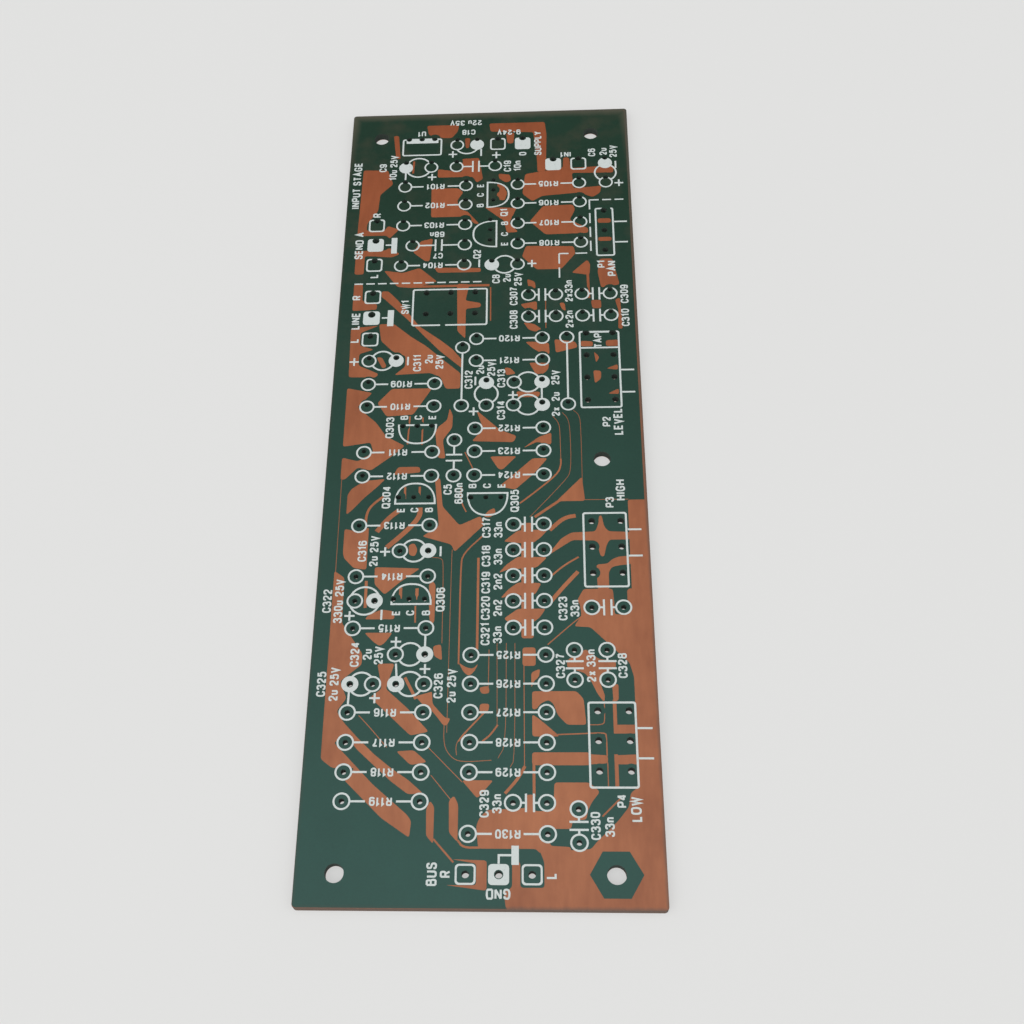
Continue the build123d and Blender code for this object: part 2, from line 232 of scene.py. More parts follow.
# Small bare fields among the tracks
SMALL_BARE_SHARES = (
    ((412, 43), (432, 43), (428, 60), (416, 60)),
    ((562, 36), (592, 36), (588, 54), (566, 54)),
    ((532, 119), (552, 122), (567, 136), (558, 148), (530, 146)),
    ((535, 104), (576, 106), (580, 116), (562, 119), (537, 112)),
    ((318, 250), (478, 252), (478, 258), (330, 258)),
    ((880, 180), (926, 180), (926, 187), (880, 187)),
    ((880, 209), (926, 209), (926, 215), (880, 215)),
    ((635, 270), (661, 274), (665, 284), (640, 285)),
    ((622, 333), (660, 336), (684, 344), (664, 347), (640, 344)),
    ((742, 306), (760, 306), (764, 318), (752, 316)),
    ((848, 303), (882, 303), (882, 315), (852, 315)),
    ((810, 361), (850, 362), (850, 369), (810, 369)),
    ((892, 361), (934, 360), (934, 369), (892, 369)),
    ((928, 303), (945, 300), (950, 345), (935, 345), (938, 318)),
    ((138, 379), (156, 379), (174, 392), (160, 395)),
    ((560, 396), (580, 397), (598, 405), (565, 407)),
    ((598, 429), (676, 430), (672, 437), (604, 437)),
    ((848, 402), (874, 403), (872, 414), (852, 420)),
    ((852, 376), (870, 384), (858, 392)),
    ((890, 400), (928, 394), (928, 402)),
    ((892, 434), (928, 427), (928, 435)),
    ((498, 589), (512, 582), (532, 578), (536, 584), (520, 590)),
    ((272, 622), (290, 620), (300, 628), (292, 636), (274, 634)),
    ((356, 738), (380, 736), (384, 754), (360, 749)),
    ((310, 792), (350, 788), (358, 787), (360, 800), (380, 808), (398, 815), (413, 815), (404, 822),
     (394, 823), (370, 812), (350, 804), (335, 802)),
    ((432, 756), (452, 761), (474, 763), (490, 757), (478, 766), (462, 771), (446, 766)),
    ((492, 783), (520, 781), (523, 789), (500, 790)),
    ((496, 800), (523, 800), (520, 808), (500, 812), (494, 806)),
    ((262, 849), (312, 848), (350, 860), (304, 863)),
    ((872, 822), (938, 822), (938, 831), (872, 831)),
    ((872, 853), (938, 852), (938, 862), (875, 862)),
    ((338, 668), (350, 665), (358, 669), (358, 711), (348, 715), (342, 706)),
)

# Narrow gaps between neighbouring tracks: width in millimetres, then the line that the gap follows
TRACK_GAP_SHARES = (
    (0.5, ((840, 258), (842, 300))),
    (0.11, ((715, 463), (733, 471), (737, 482), (738, 520))),
    (0.3, ((738, 518), (738, 526), (728, 537), (655, 560), (610, 573))),
    (0.1, ((745, 458), (763, 466), (769, 480), (770, 533), (752, 545), (640, 590))),
    (0.1, ((780, 455), (800, 462), (803, 480), (803, 548))),
    (0.5, ((740, 568), (655, 590))),
    (0.9, ((238, 580), (205, 590), (172, 606))),
    (0.9, ((302, 577), (303, 588), (265, 605), (205, 625))),
    (0.45, ((186, 563), (150, 574), (137, 584), (136, 598))),
    (0.12, ((806, 569.5), (942, 569.5))),
    (0.7, ((690, 694), (735, 674), (783, 655))),
    (0.22, ((715, 832), (790, 831), (848, 830), (851, 834), (851, 854))),
    (0.16, ((800, 822), (842, 822), (848, 818), (848, 798))),
    (0.18, ((852, 860), (852, 886))),
    (0.3, ((258, 460), (254, 497))),
    (0.3, ((300, 462), (300, 498))),
    (0.4, ((253, 551), (254, 566))),
    (0.4, ((299, 551), (299, 566))),
    (0.55, ((254, 672), (254, 685))),
    (0.55, ((303, 673), (303, 686))),
    (0.11, ((52, 536), (54, 660))),
    (0.75, ((700, 606), (735, 594), (758, 590), (780, 589))),
    (0.32, ((700, 661), (740, 648), (786, 638))),
    (0.2, ((690, 737), (765, 713), (790, 706))),
    (0.11, ((345, 637), (374, 638), (380, 645), (382, 735))),
    (0.1, ((405, 628), (404, 650), (403, 830))),
    (0.28, ((500, 611), (438, 633), (432, 648), (432, 758))),
    (0.42, ((485, 638), (485, 742))),
    (0.5, ((278, 772), (312, 795))),
    (0.12, ((395, 818), (395, 843), (416, 855), (445, 860), (530, 858))),
    (0.13, ((335, 839), (450, 880))),
    (0.13, ((362, 873), (428, 901))),
    (0.28, ((512, 808), (452, 831), (436, 839))),
    (0.12, ((440, 836), (429, 843), (432, 853))),
    (0.15, ((150, 812), (180, 823), (235, 845))),
    (0.12, ((520, 742), (519, 782))),
    (0.1, ((543, 735), (545, 824))),
    (0.3, ((547, 822), (525, 833), (503, 839))),
    (0.1, ((570, 735), (570, 842), (548, 856))),
    (0.1, ((595, 735), (595, 857), (582, 865))),
    (0.14, ((621, 742), (622, 866))),
    (0.5, ((623, 864), (605, 876), (568, 891))),
    (0.45, ((648, 860), (648, 894))),
    (0.6, ((877, 796), (877, 831))),
    (0.6, ((876, 852), (876, 885))),
    (0.2, ((437, 508), (463, 529))),
    (0.25, ((428, 552), (428, 570), (445, 583))),
    (0.5, ((149, 664), (150, 695))),
    (0.4, ((231, 80), (229, 100))),
    (0.55, ((250, 278), (508, 278))),
    (0.25, ((512, 281), (513, 330))),
    (0.16, ((697, 284), (697, 342))),
    (0.3, ((300, 693), (301, 712))),
    (0.28, ((833, 913), (882, 896))),
    (0.3, ((374, 935), (430, 957))),
    (0.35, ((440, 936), (455, 943), (500, 943))),
)

# Legend outlines: rectangles as left, far, right and near edges
RECTANGLE_SHARES = (
    (248, 282, 503, 336), (871, 163.5, 936, 238), (804, 347.5, 937.5, 453), (800, 585, 935, 673.5),
    (800, 798, 937.5, 886),
)
TRANSISTOR_OUTLINE_SHARES = (
    (Flat.LEFT, 494, 117, 575, 159), (Flat.RIGHT, 447, 179, 533, 221), (Flat.FAR, 221, 471, 346, 497),
    (Flat.NEAR, 221, 546, 350, 573), (Flat.FAR, 446, 559, 575, 588), (Flat.NEAR, 225, 667, 348, 692),
)
REGULATOR_SHARES = (186, 42.5, 330, 71)
REGULATOR_BAR_SHARES = (200, 42, 316, 50)
GROUND_BAR_SHARES = ((166, 203, 186, 227), (167, 312, 188, 335), (586, 941, 606, 959))
LEGEND_LINE_SHARES = (
    ((146, 214), (166, 214)), ((148, 323), (168, 323)), ((552, 958), (552, 950), (588, 950)),
    ((804, 371), (937, 371)), ((836, 349), (904, 349)),
    ((937, 185.5), (981, 185.5)), ((937, 217), (981, 217)), ((938, 402), (980, 402)),
    ((938, 432), (980, 432)), ((936, 606), (977, 606)), ((936, 637), (977, 637)),
    ((938, 825.5), (980, 825.5)), ((938, 856), (980, 856)),
    ((203, 95), (203, 114)), ((681, 424), (681, 442)), ((333, 724), (333, 741)), ((250, 757), (254, 773)),
    ((118, 785), (117, 803)),
)
DASHED_LINE_SHARES = (
    ((47, 272.5), (492, 272.5), 11), ((856, 150.5), (985, 150.5), 3), ((801, 233), (856, 233), 1),
    ((854, 150), (854, 236), 4), ((745, 233), (745, 275), 2), ((745, 233), (790, 233), 1),
)
LEGEND_BLANK_SHARES = ((390, 34, 452, 46), (345, 332, 362, 339), (898, 160, 926, 168))
PLUS_SHARES = (
    (370, 70), (527, 73), (298, 107), (960, 124), (652, 247), (65, 385), (588, 434), (462, 455), (201, 630),
    (105, 704), (247, 733), (193, 794), (335, 763),
)
MINUS_SHARES = ((472, 68), (472, 245), (951, 94), (243, 385), (466, 414), (370, 630), (200, 703))

# Legend lettering: turn and cap height in millimetres, then words and the place of their middle
LETTERING_SHARES = (
    (Turn.INVERTED, 1.4, (
        ("U1", (255, 34)), ("22u 35V", (415, 17)), ("C18", (426, 33)), ("9-24V", (572, 35)),
        ("68n", (324, 199)), ("C7", (329, 232)), ("IN1", (775, 75)),
    )),
    (Turn.UPWARD, 1.5, (
        ("SUPPLY", (676, 55)), ("0", (622, 72)),
        ("C19", (567, 92)), ("10n", (603, 92)), ("C9", (120, 90)), ("10u 25V", (158, 90)),
        ("Q1", (556, 167)), ("Q2", (464, 231)), ("C8", (530, 269)), ("2u", (567, 268)),
        ("25V", (604, 270)), ("C6", (868, 73)), ("2u", (909, 72)), ("25V", (944, 72)),
        ("C307", (590, 295)), ("C308", (590, 329)), ("2x33n", (775, 289)), ("2x2n", (775, 330)),
        ("C309", (960, 295)), ("C310", (960, 329)), ("TAP", (867, 361)), ("C311", (274, 388)),
        ("2u", (312, 383)), ("25V", (347, 387)), ("C312", (444, 412)), ("2u", (481, 399)),
        ("25V", (517, 398)), ("C313", (550, 411)), ("C314", (550, 454)), ("25V", (725, 411)),
        ("2u", (725, 437)), ("2x", (725, 457)), ("Q303", (195, 475)), ("Q304", (196, 564)),
        ("C5", (386, 555)), ("680n", (421, 560)), ("Q305", (594, 570)), ("C316", (131, 629)),
        ("2u 25V", (167, 629)), ("C317", (508, 602)), ("33n", (544, 605)), ("C318", (508, 636)),
        ("33n", (544, 637)), ("C319", (508, 667)), ("2n2", (544, 666)), ("C320", (508, 696)),
        ("2n2", (544, 696)), ("C321", (508, 725)), ("33n", (544, 726)), ("C322", (35, 687)),
        ("330u 25V", (70, 687)), ("Q306", (374, 686)), ("C323", (736, 697)), ("33n", (771, 697)),
        ("C324", (128, 747)), ("2u", (165, 747)), ("25V", (198, 748)), ("C325", (36, 779)),
        ("2u 25V", (73, 779)), ("C326", (375, 781)), ("2u 25V", (413, 781)), ("C327", (726, 760)),
        ("2x 33n", (814, 760)), ("C328", (904, 760)), ("C329", (511, 901)), ("33n", (546, 901)),
        ("C330", (814, 922)), ("33n", (852, 923)),
        ("P1", (887, 250)), ("P2", (885, 471)), ("P3", (885, 573)), ("P4", (887, 898)), ("SW1", (225, 308)),
    )),
    (Turn.UPWARD, 1.65, (
        ("PAN", (922, 257)), ("LEVEL", (921, 471)), ("HIGH", (919, 558)), ("LOW", (925, 906)),
        ("INPUT STAGE", (30, 118)), ("SEND A", (54, 214)), ("LINE", (60, 327)), ("BUS", (372, 968)),
        ("R", (110, 167)), ("L", (112, 261)), ("R", (58, 293)), ("L", (60, 355)), ("R", (409, 968)),
        ("L", (692, 969)),
    )),
    (Turn.UPWARD, 1.4, (
        ("E", (472, 123)), ("C", (472, 138)), ("B", (472, 155)), ("B", (558, 184)), ("C", (558, 201)),
        ("E", (558, 216)), ("B", (240, 462)), ("C", (285, 462)), ("E", (330, 462)), ("E", (243, 580)),
        ("C", (285, 580)), ("B", (330, 580)), ("B", (463, 551)), ("C", (508, 551)), ("E", (553, 551)),
        ("E", (243, 701)), ("C", (285, 701)), ("B", (332, 701)),
    )),
    (Turn.INVERTED, 1.65, (("GND", (551, 986)),)),
)

# Letters: width, then pen lines, all in cap heights
STEM = bent((0, 0), (0, 1))
BOWL = curved((0.38, 1), (0, 1), (0, 0), (0.76, 0), (0.76, 1), (0.38, 1))
GLYPHS: dict[str, tuple[float, tuple[PenLine, ...]]] = {
    "0": (0.62, (curved((0.31, 1), (0, 1), (0, 0), (0.62, 0), (0.62, 1), (0.31, 1)),)),
    "1": (0.34, (bent((0, 0.78), (0.26, 0.98), (0.26, 0)),)),
    "2": (0.62, (curved((0.02, 0.68), (0.02, 1), (0.6, 1), (0.6, 0.55), (0.25, 0.34), (0.02, 0)),
                 bent((0, 0), (0.62, 0)))),
    "3": (0.62, (curved((0.03, 0.76), (0.05, 1), (0.57, 1), (0.57, 0.54), (0.24, 0.54)),
                 curved((0.24, 0.54), (0.62, 0.54), (0.62, 0), (0.02, 0), (0, 0.26)))),
    "4": (0.64, (bent((0.47, 0), (0.47, 1.04)), bent((0.44, 1), (0, 0.27)),
                 bent((-0.04, 0.27), (0.66, 0.27)))),
    "5": (0.62, (bent((0.56, 1), (0.12, 1), (0.06, 0.48)),
                 curved((0.06, 0.48), (0.2, 0.68), (0.62, 0.68), (0.62, 0), (0.02, 0), (0, 0.24)))),
    "6": (0.62, (curved((0.58, 0.8), (0.54, 1), (0, 1), (0, 0.55), (0, 0.3)),
                 curved((0.31, 0.6), (0, 0.6), (0, 0), (0.62, 0), (0.62, 0.6), (0.31, 0.6)))),
    "7": (0.6, (bent((0, 1), (0.6, 1)), curved((0.6, 1), (0.28, 0.6), (0.2, 0)))),
    "8": (0.62, (curved((0.31, 1), (0.04, 1), (0.04, 0.54), (0.58, 0.54), (0.58, 1), (0.31, 1)),
                 curved((0.31, 0.54), (0, 0.54), (0, 0), (0.62, 0), (0.62, 0.54), (0.31, 0.54)))),
    "9": (0.62, (curved((0.04, 0.2), (0.08, 0), (0.62, 0), (0.62, 0.45), (0.62, 0.7)),
                 curved((0.31, 0.4), (0.62, 0.4), (0.62, 1), (0, 1), (0, 0.4), (0.31, 0.4)))),
    "A": (0.7, (bent((0, 0), (0.35, 1), (0.7, 0)), bent((0.12, 0.32), (0.58, 0.32)))),
    "B": (0.64, (STEM, curved((0, 1), (0.3, 1), (0.58, 1), (0.58, 0.54), (0.3, 0.54), (0, 0.54)),
                 curved((0, 0.54), (0.3, 0.54), (0.64, 0.54), (0.64, 0), (0.3, 0), (0, 0)))),
    "C": (0.66, (curved((0.66, 0.7), (0.6, 1), (0, 1), (0, 0), (0.6, 0), (0.66, 0.3)),)),
    "D": (0.68, (STEM, curved((0, 1), (0.3, 1), (0.68, 1), (0.68, 0), (0.3, 0), (0, 0)))),
    "E": (0.56, (bent((0.56, 1), (0, 1), (0, 0), (0.56, 0)), bent((0, 0.52), (0.5, 0.52)))),
    "G": (0.68, (curved((0.64, 0.74), (0.58, 1), (0, 1), (0, 0), (0.66, 0), (0.66, 0.46)),
                 bent((0.68, 0.46), (0.38, 0.46)))),
    "H": (0.64, (STEM, bent((0.64, 0), (0.64, 1)), bent((0, 0.52), (0.64, 0.52)))),
    "I": (0.04, (bent((0.02, 0), (0.02, 1)),)),
    "L": (0.52, (bent((0, 1), (0, 0), (0.52, 0)),)),
    "N": (0.66, (STEM, bent((0, 1), (0.66, 0)), bent((0.66, 0), (0.66, 1)))),
    "O": (0.76, (BOWL,)),
    "P": (0.62, (STEM, curved((0, 1), (0.32, 1), (0.62, 1), (0.62, 0.44), (0.32, 0.44), (0, 0.44)))),
    "Q": (0.76, (BOWL, bent((0.44, 0.28), (0.84, -0.12)))),
    "R": (0.64, (STEM, curved((0, 1), (0.32, 1), (0.62, 1), (0.62, 0.48), (0.32, 0.48), (0, 0.48)),
                 bent((0.36, 0.48), (0.64, 0)))),
    "S": (0.62, (curved((0.58, 0.74), (0.54, 1), (0.04, 1), (0.02, 0.58), (0.31, 0.52), (0.62, 0.44),
                        (0.6, 0), (0.04, 0), (0, 0.28)),)),
    "T": (0.62, (bent((0, 1), (0.62, 1)), bent((0.31, 1), (0.31, 0)))),
    "U": (0.64, (curved((0, 1), (0, 0.5), (0, 0), (0.64, 0), (0.64, 0.5), (0.64, 1)),)),
    "V": (0.66, (bent((0, 1), (0.33, 0), (0.66, 1)),)),
    "W": (0.92, (bent((0, 1), (0.23, 0), (0.46, 0.92), (0.69, 0), (0.92, 1)),)),
    "Y": (0.64, (bent((0, 1), (0.32, 0.46), (0.64, 1)), bent((0.32, 0.5), (0.32, 0)))),
    "n": (0.48, (bent((0, 0), (0, 0.72)),
                 curved((0, 0.42), (0.04, 0.72), (0.48, 0.72), (0.48, 0.36), (0.48, 0)))),
    "u": (0.48, (curved((0, 0.72), (0, 0.36), (0, 0), (0.44, 0), (0.48, 0.3)),
                 bent((0.48, 0.72), (0.48, 0)))),
    "x": (0.46, (bent((0, 0), (0.46, 0.72)), bent((0, 0.72), (0.46, 0)))),
    "-": (0.3, (bent((0, 0.42), (0.3, 0.42)),)),
    " ": (0.12, ()),
}


@dataclass(frozen=True)
class Board:
    """The board's sizes, read from its solid, and the way from plan shares to millimetres."""

    width: float
    length: float
    low: float
    high: float

    @classmethod
    def from_frame(cls) -> "Board":
        """Measure the board from the box of its solid.

        Returns:
            The board, in millimetres.
        """
        low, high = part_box("circuit_board")
        return cls((high[0] - low[0]) / MM, (high[1] - low[1]) / MM, low[2] / MM, high[2] / MM)

    def point(self, share: Share) -> Point:
        """Turn a place in thousandths into millimetres from the board's middle.

        Args:
            share: Thousandths of the width from the left edge and of the length from the far edge.

        Returns:
            The place in millimetres.
        """
        across = (share[0] - MIDDLE_SHARE) * THOUSANDTH * self.width
        along = (MIDDLE_SHARE - share[1]) * THOUSANDTH * self.length
        return across, along

    def loop(self, shares: Iterable[Share]) -> Loop:
        """Turn a ring of shares into a ring of points."""
        return [self.point(share) for share in shares]

    def corners(self, edges: Edges) -> Pair:
        """Give a rectangle's low and high corners from its left, far, right and near shares."""
        left, far, right, near = edges
        return self.point((left, near)), self.point((right, far))


def circle(centre: Point, radius: float, sides: int = 32) -> Loop:
    """Draw a round ring.

    Args:
        centre: Middle of the ring.
        radius: Its radius.
        sides: How many straight sides it has.

    Returns:
        The ring's points, counter-clockwise.
    """
    turns = [2 * math.pi * step / sides for step in range(sides)]
    return [(centre[0] + radius * math.cos(turn), centre[1] + radius * math.sin(turn)) for turn in turns]


def rounded_box(low: Point, high: Point, radius: float, steps: int = 5) -> Loop:
    """Draw a rectangle with round corners.

    Args:
        low: Corner with the smaller values.
        high: Corner with the larger values.
        radius: Radius of every corner.
        steps: Straight sides in each corner.

    Returns:
        The outline's points, counter-clockwise.
    """
    corners = (
        ((high[0] - radius, high[1] - radius), 0.0),
        ((low[0] + radius, high[1] - radius), 90.0),
        ((low[0] + radius, low[1] + radius), 180.0),
        ((high[0] - radius, low[1] + radius), 270.0),
    )
    outline = []
    for centre, start in corners:
        for step in range(steps + 1):
            turn = math.radians(start + 90.0 * step / steps)
            outline.append((centre[0] + radius * math.cos(turn), centre[1] + radius * math.sin(turn)))
    return outline


def stroke(line: Sequence[Point], width: float, sharpest: float = 0.3) -> Loop:
    """Draw a line of even width along a chain of points, with mitred corners.

    Args:
        line: Two or more points.
        width: Width of the line.
        sharpest: Least cosine of half a bend that a mitre follows; sharper bends are cut short.

    Returns:
        The line's outline.
    """
    points = [Vector(point) for point in line]
    sides = []
    for index, point in enumerate(points):
        before = (point - points[index - 1]).normalized() if index > 0 else None
        after = (points[index + 1] - point).normalized() if index + 1 < len(points) else None
        ways = [way for way in (before, after) if way is not None]
        normals = [Vector((-way.y, way.x)) for way in ways]
        middle = sum(normals, Vector((0.0, 0.0))).normalized()
        sides.append(middle * (width / 2 / max(middle.dot(normals[0]), sharpest)))
    left = [tuple(point + side) for point, side in zip(points, sides)]
    right = [tuple(point - side) for point, side in zip(points, sides)]
    return right + left[::-1]


def smoothed(line: Sequence[Point], rounds: int = 2, cut_share: float = 0.25) -> list[Point]:
    """Cut the corners off a line again and again, which leaves a curve with the same ends.

    Args:
        line: The line's points.
        rounds: How often the corners are cut.
        cut_share: Share of a stretch that a cut takes off at each end.

    Returns:
        The curve's points.
    """
    points = list(line)
    for _ in range(rounds):
        cut = [points[0]]
        for (ax, ay), (bx, by) in zip(points, points[1:]):
            for share in (cut_share, 1 - cut_share):
                cut.append((ax * (1 - share) + bx * share, ay * (1 - share) + by * share))
        points = cut + [points[-1]]
    return points


def softened(loop: Loop, radius: float, steps: int = 4, side_share: float = 0.45) -> Loop:
    """Round every corner of a ring, as etching does.

    Args:
        loop: The ring.
        radius: How far from its corner a rounding starts, at most.
        steps: Straight sides in each rounding.
        side_share: Share of a side that one rounding takes, at most.

    Returns:
        The ring with round corners.
    """
    soft = []
    for index, corner in enumerate(loop):
        middle = Vector(corner)
        arms = []
        for other in (loop[index - 1], loop[(index + 1) % len(loop)]):
            arm = Vector(other) - middle
            arms.append(middle + arm.normalized() * min(radius, arm.length * side_share))
        for step in range(steps + 1):
            share = step / steps
            place = arms[0] * (1 - share) ** 2 + middle * 2 * share * (1 - share) + arms[1] * share ** 2
            soft.append((place.x, place.y))
    return soft


def signed_area(loop: Loop) -> float:
    """Give a ring's area, positive where it runs counter-clockwise."""
    following = loop[1:] + loop[:1]
    return sum(a[0] * b[1] - b[0] * a[1] for a, b in zip(loop, following)) / 2


@dataclass
class Stencil:
    """A flat pattern made of rings that are laid on or cut out in order, the last one winning."""

    rings: list[Loop] = field(default_factory=list)
    kept: list[bool] = field(default_factory=list)
    join_distance: float = 1e-5

    def lay(self, *loops: Loop) -> None:
        """Add rings that the pattern covers."""
        self._append(loops, True)

    def cut(self, *loops: Loop) -> None:
        """Add rings that are taken out of what lies under them."""
        self._append(loops, False)

    def frame_lines(self, outer: Loop, inner: Loop) -> None:
        """Lay a ring and cut a smaller one out of it, which leaves an outline."""
        self.lay(outer)
        self.cut(inner)

    def _append(self, loops: Iterable[Loop], kept: bool) -> None:
        """Store rings counter-clockwise with what becomes of them.

        Args:
            loops: The rings.
            kept: Whether the pattern covers them.
        """
        for loop in loops:
            self.rings.append(loop if signed_area(loop) > 0 else loop[::-1])
            self.kept.append(kept)

    def solid(self, name: str, low: float, high: float) -> bpy.types.Object:
        """Make the pattern as one flat solid.

        Args:
            name: Name of the piece.
            low: Height of its lower face in millimetres.
            high: Height of its upper face in millimetres.

        Returns:
            The piece, linked to the scene.
        """
        points: list[Vector] = []
        faces: list[list[int]] = []
        for ring in self.rings:
            faces.append(list(range(len(points), len(points) + len(ring))))
            points += [Vector(point) for point in ring]
        drawn = delaunay_2d_cdt(points, [], faces, 0, self.join_distance, True)
        verts, _, triangles, _, _, sources = drawn
        cover = [tri for tri, source in zip(triangles, sources) if source and self.kept[max(source)]]
        return self._extrude(name, verts, cover, low * MM, high * MM)

    @staticmethod
    def _extrude(name: str, verts: Sequence[Vector], cover: Sequence[Sequence[int]], low: float,
                 high: float) -> bpy.types.Object:
        """Raise flat triangles into a closed solid with walls along their outer edges.

        Args:
            name: Name of the piece.
            verts: Plan points in millimetres.
            cover: Triangles of the pattern, counter-clockwise.
            low: Lower height in metres.
            high: Upper height in metres.

        Returns:
            The piece, linked to the scene.
        """
        used = sorted({index for triangle in cover for index in triangle})
        order = {index: place for place, index in enumerate(used)}
        count = len(used)
        plan = [(verts[index].x * MM, verts[index].y * MM) for index in used]
        upper = [tuple(order[index] for index in triangle) for triangle in cover]
        lower = [tuple(index + count for index in reversed(triangle)) for triangle in upper]
        edges = [(t[step], t[(step + 1) % len(t)]) for t in upper for step in range(len(t))]
        uses = Counter(tuple(sorted(edge)) for edge in edges)
        walls = [(a, a + count, b + count, b) for a, b in edges if uses[tuple(sorted((a, b)))] == 1]
        mesh = bpy.data.meshes.new(name)
        places = [(x, y, high) for x, y in plan] + [(x, y, low) for x, y in plan]
        mesh.from_pydata(places, [], upper + lower + walls)
        mesh.validate()
        piece = bpy.data.objects.new(name, mesh)
        bpy.context.scene.collection.objects.link(piece)
        return piece


@dataclass
class Drilling:
    """Every hole of the board."""

    board: Board
    screw_diameter: float = 3.0
    lead_diameter: float = 0.91
    tag_diameter: float = 1.18
    resistor_pitch: float = 12.35
    transistor_pitch: float = 2.65
    control_pitch: float = 5.0
    switch_pitch: Point = (4.7, 5.0)
    terminal_pitch: float = 5.1
    lead_sides: int = 20
    tag_sides: int = 24
    screw_sides: int = 48
    screw_shares: tuple[Share, ...] = (
        (108.8, 40.9), (866.7, 40.9), (108.8, 967.7), (866.7, 967.7), (866.7, 518.9),
    )

    def grid(self, share: Share, counts: tuple[int, int], pitch: Point) -> list[Point]:
        """Give the places of a grid of leads about its middle.

        Args:
            share: Middle of the grid.
            counts: Leads across and along.
            pitch: Distances across and along.

        Returns:
            The places in millimetres.
        """
        x, y = self.board.point(share)
        offsets = [
            [(index - (count - 1) / 2) * step for index in range(count)]
            for count, step in zip(counts, pitch)
        ]
        return [(x + across, y + along) for across in offsets[0] for along in offsets[1]]

    def resistors(self) -> list[Pair]:
        """Give the two leads of every resistor."""
        pitch = (self.resistor_pitch, self.resistor_pitch)
        return [
            tuple(self.grid((column, row), (2, 1), pitch))
            for column, rows in RESISTOR_COLUMN_SHARES for row in rows
        ]

    def pairs(self, shares: Iterable[Sequence[Any]]) -> list[Pair]:
        """Give the two leads of each part in a table."""
        return [(self.board.point(row[0]), self.board.point(row[1])) for row in shares]

    def terminals(self) -> list[Point]:
        """Give the places of the terminal pins."""
        pitch = (self.terminal_pitch, self.terminal_pitch)
        return [
            place for x, y, across, along in TERMINAL_SHARES
            for place in self.grid((x, y), (across, along), pitch)
        ]

    def leads(self) -> list[Point]:
        """Give every thin lead's place.

        Returns:
            The places in millimetres.
        """
        pairs = self.resistors() + self.pairs(FILM_CAPACITOR_SHARES) + self.pairs(ELECTROLYTIC_SHARES)
        pairs += self.pairs(WIRE_LINK_SHARES)
        places = [place for pair in pairs for place in pair]
        pitch = (self.transistor_pitch, self.transistor_pitch)
        for x, y, run in TRANSISTOR_SHARES:
            places += self.grid((x, y), (3, 1) if run is Run.ACROSS else (1, 3), pitch)
        return places

    def tags(self) -> list[Point]:
        """Give every stiff tag's place.

        Returns:
            The places in millimetres.
        """
        places = self.terminals() + self.grid(SWITCH_SHARES[:2], SWITCH_SHARES[2:], self.switch_pitch)
        pitch = (self.control_pitch, self.control_pitch)
        for x, y, across, along in CONTROL_SHARES:
            places += self.grid((x, y), (across, along), pitch)
        return places

    def screws(self) -> list[Point]:
        """Give every screw hole's place."""
        return [self.board.point(share) for share in self.screw_shares]

    def rings(self, clearance: float = 0.0) -> list[Loop]:
        """Draw every hole as a ring.

        Args:
            clearance: How far the rings are drawn outside the holes.

        Returns:
            The rings.
        """
        kinds = (
            (self.leads(), self.lead_diameter, self.lead_sides),
            (self.tags(), self.tag_diameter, self.tag_sides),
            (self.screws(), self.screw_diameter, self.screw_sides),
        )
        return [
            circle(place, diameter / 2 + clearance, sides)
            for places, diameter, sides in kinds for place in places
        ]


class Shade:
    """One value in a shader, with arithmetic that adds Math nodes."""

    def __init__(self, graph: "Graph", socket: bpy.types.NodeSocket) -> None:
        """Wrap a socket of a graph."""
        self.graph = graph
        self.socket = socket

    def __add__(self, other: "Number") -> "Shade":
        """Add a value."""
        return self.graph.math("ADD", self, other)

    __radd__ = __add__

    def __mul__(self, other: "Number") -> "Shade":
        """Multiply by a value."""
        return self.graph.math("MULTIPLY", self, other)

    __rmul__ = __mul__

    def __sub__(self, other: "Number") -> "Shade":
        """Take a value away."""
        return self.graph.math("SUBTRACT", self, other)

    def __rsub__(self, other: "Number") -> "Shade":
        """Be taken away from a value."""
        return self.graph.math("SUBTRACT", other, self)

    def __abs__(self) -> "Shade":
        """Drop the sign."""
        return self.graph.math("ABSOLUTE", self, 0.0)

    def clipped(self, low: float, high: float) -> "Shade":
        """Stretch the span from low to high over nought to one, and hold it there.

        Args:
            low: Value that becomes nought.
            high: Value that becomes one.

        Returns:
            The held value.
        """
        node = self.graph.node(
            "ShaderNodeMapRange", {"clamp": True},
            {"Value": self, "From Min": low, "From Max": high, "To Min": 0.0, "To Max": 1.0},
        )
        return Shade(self.graph, node.outputs["Result"])


Number = Union[Shade, float, int]
Owner = Union[bpy.types.Material, bpy.types.World]


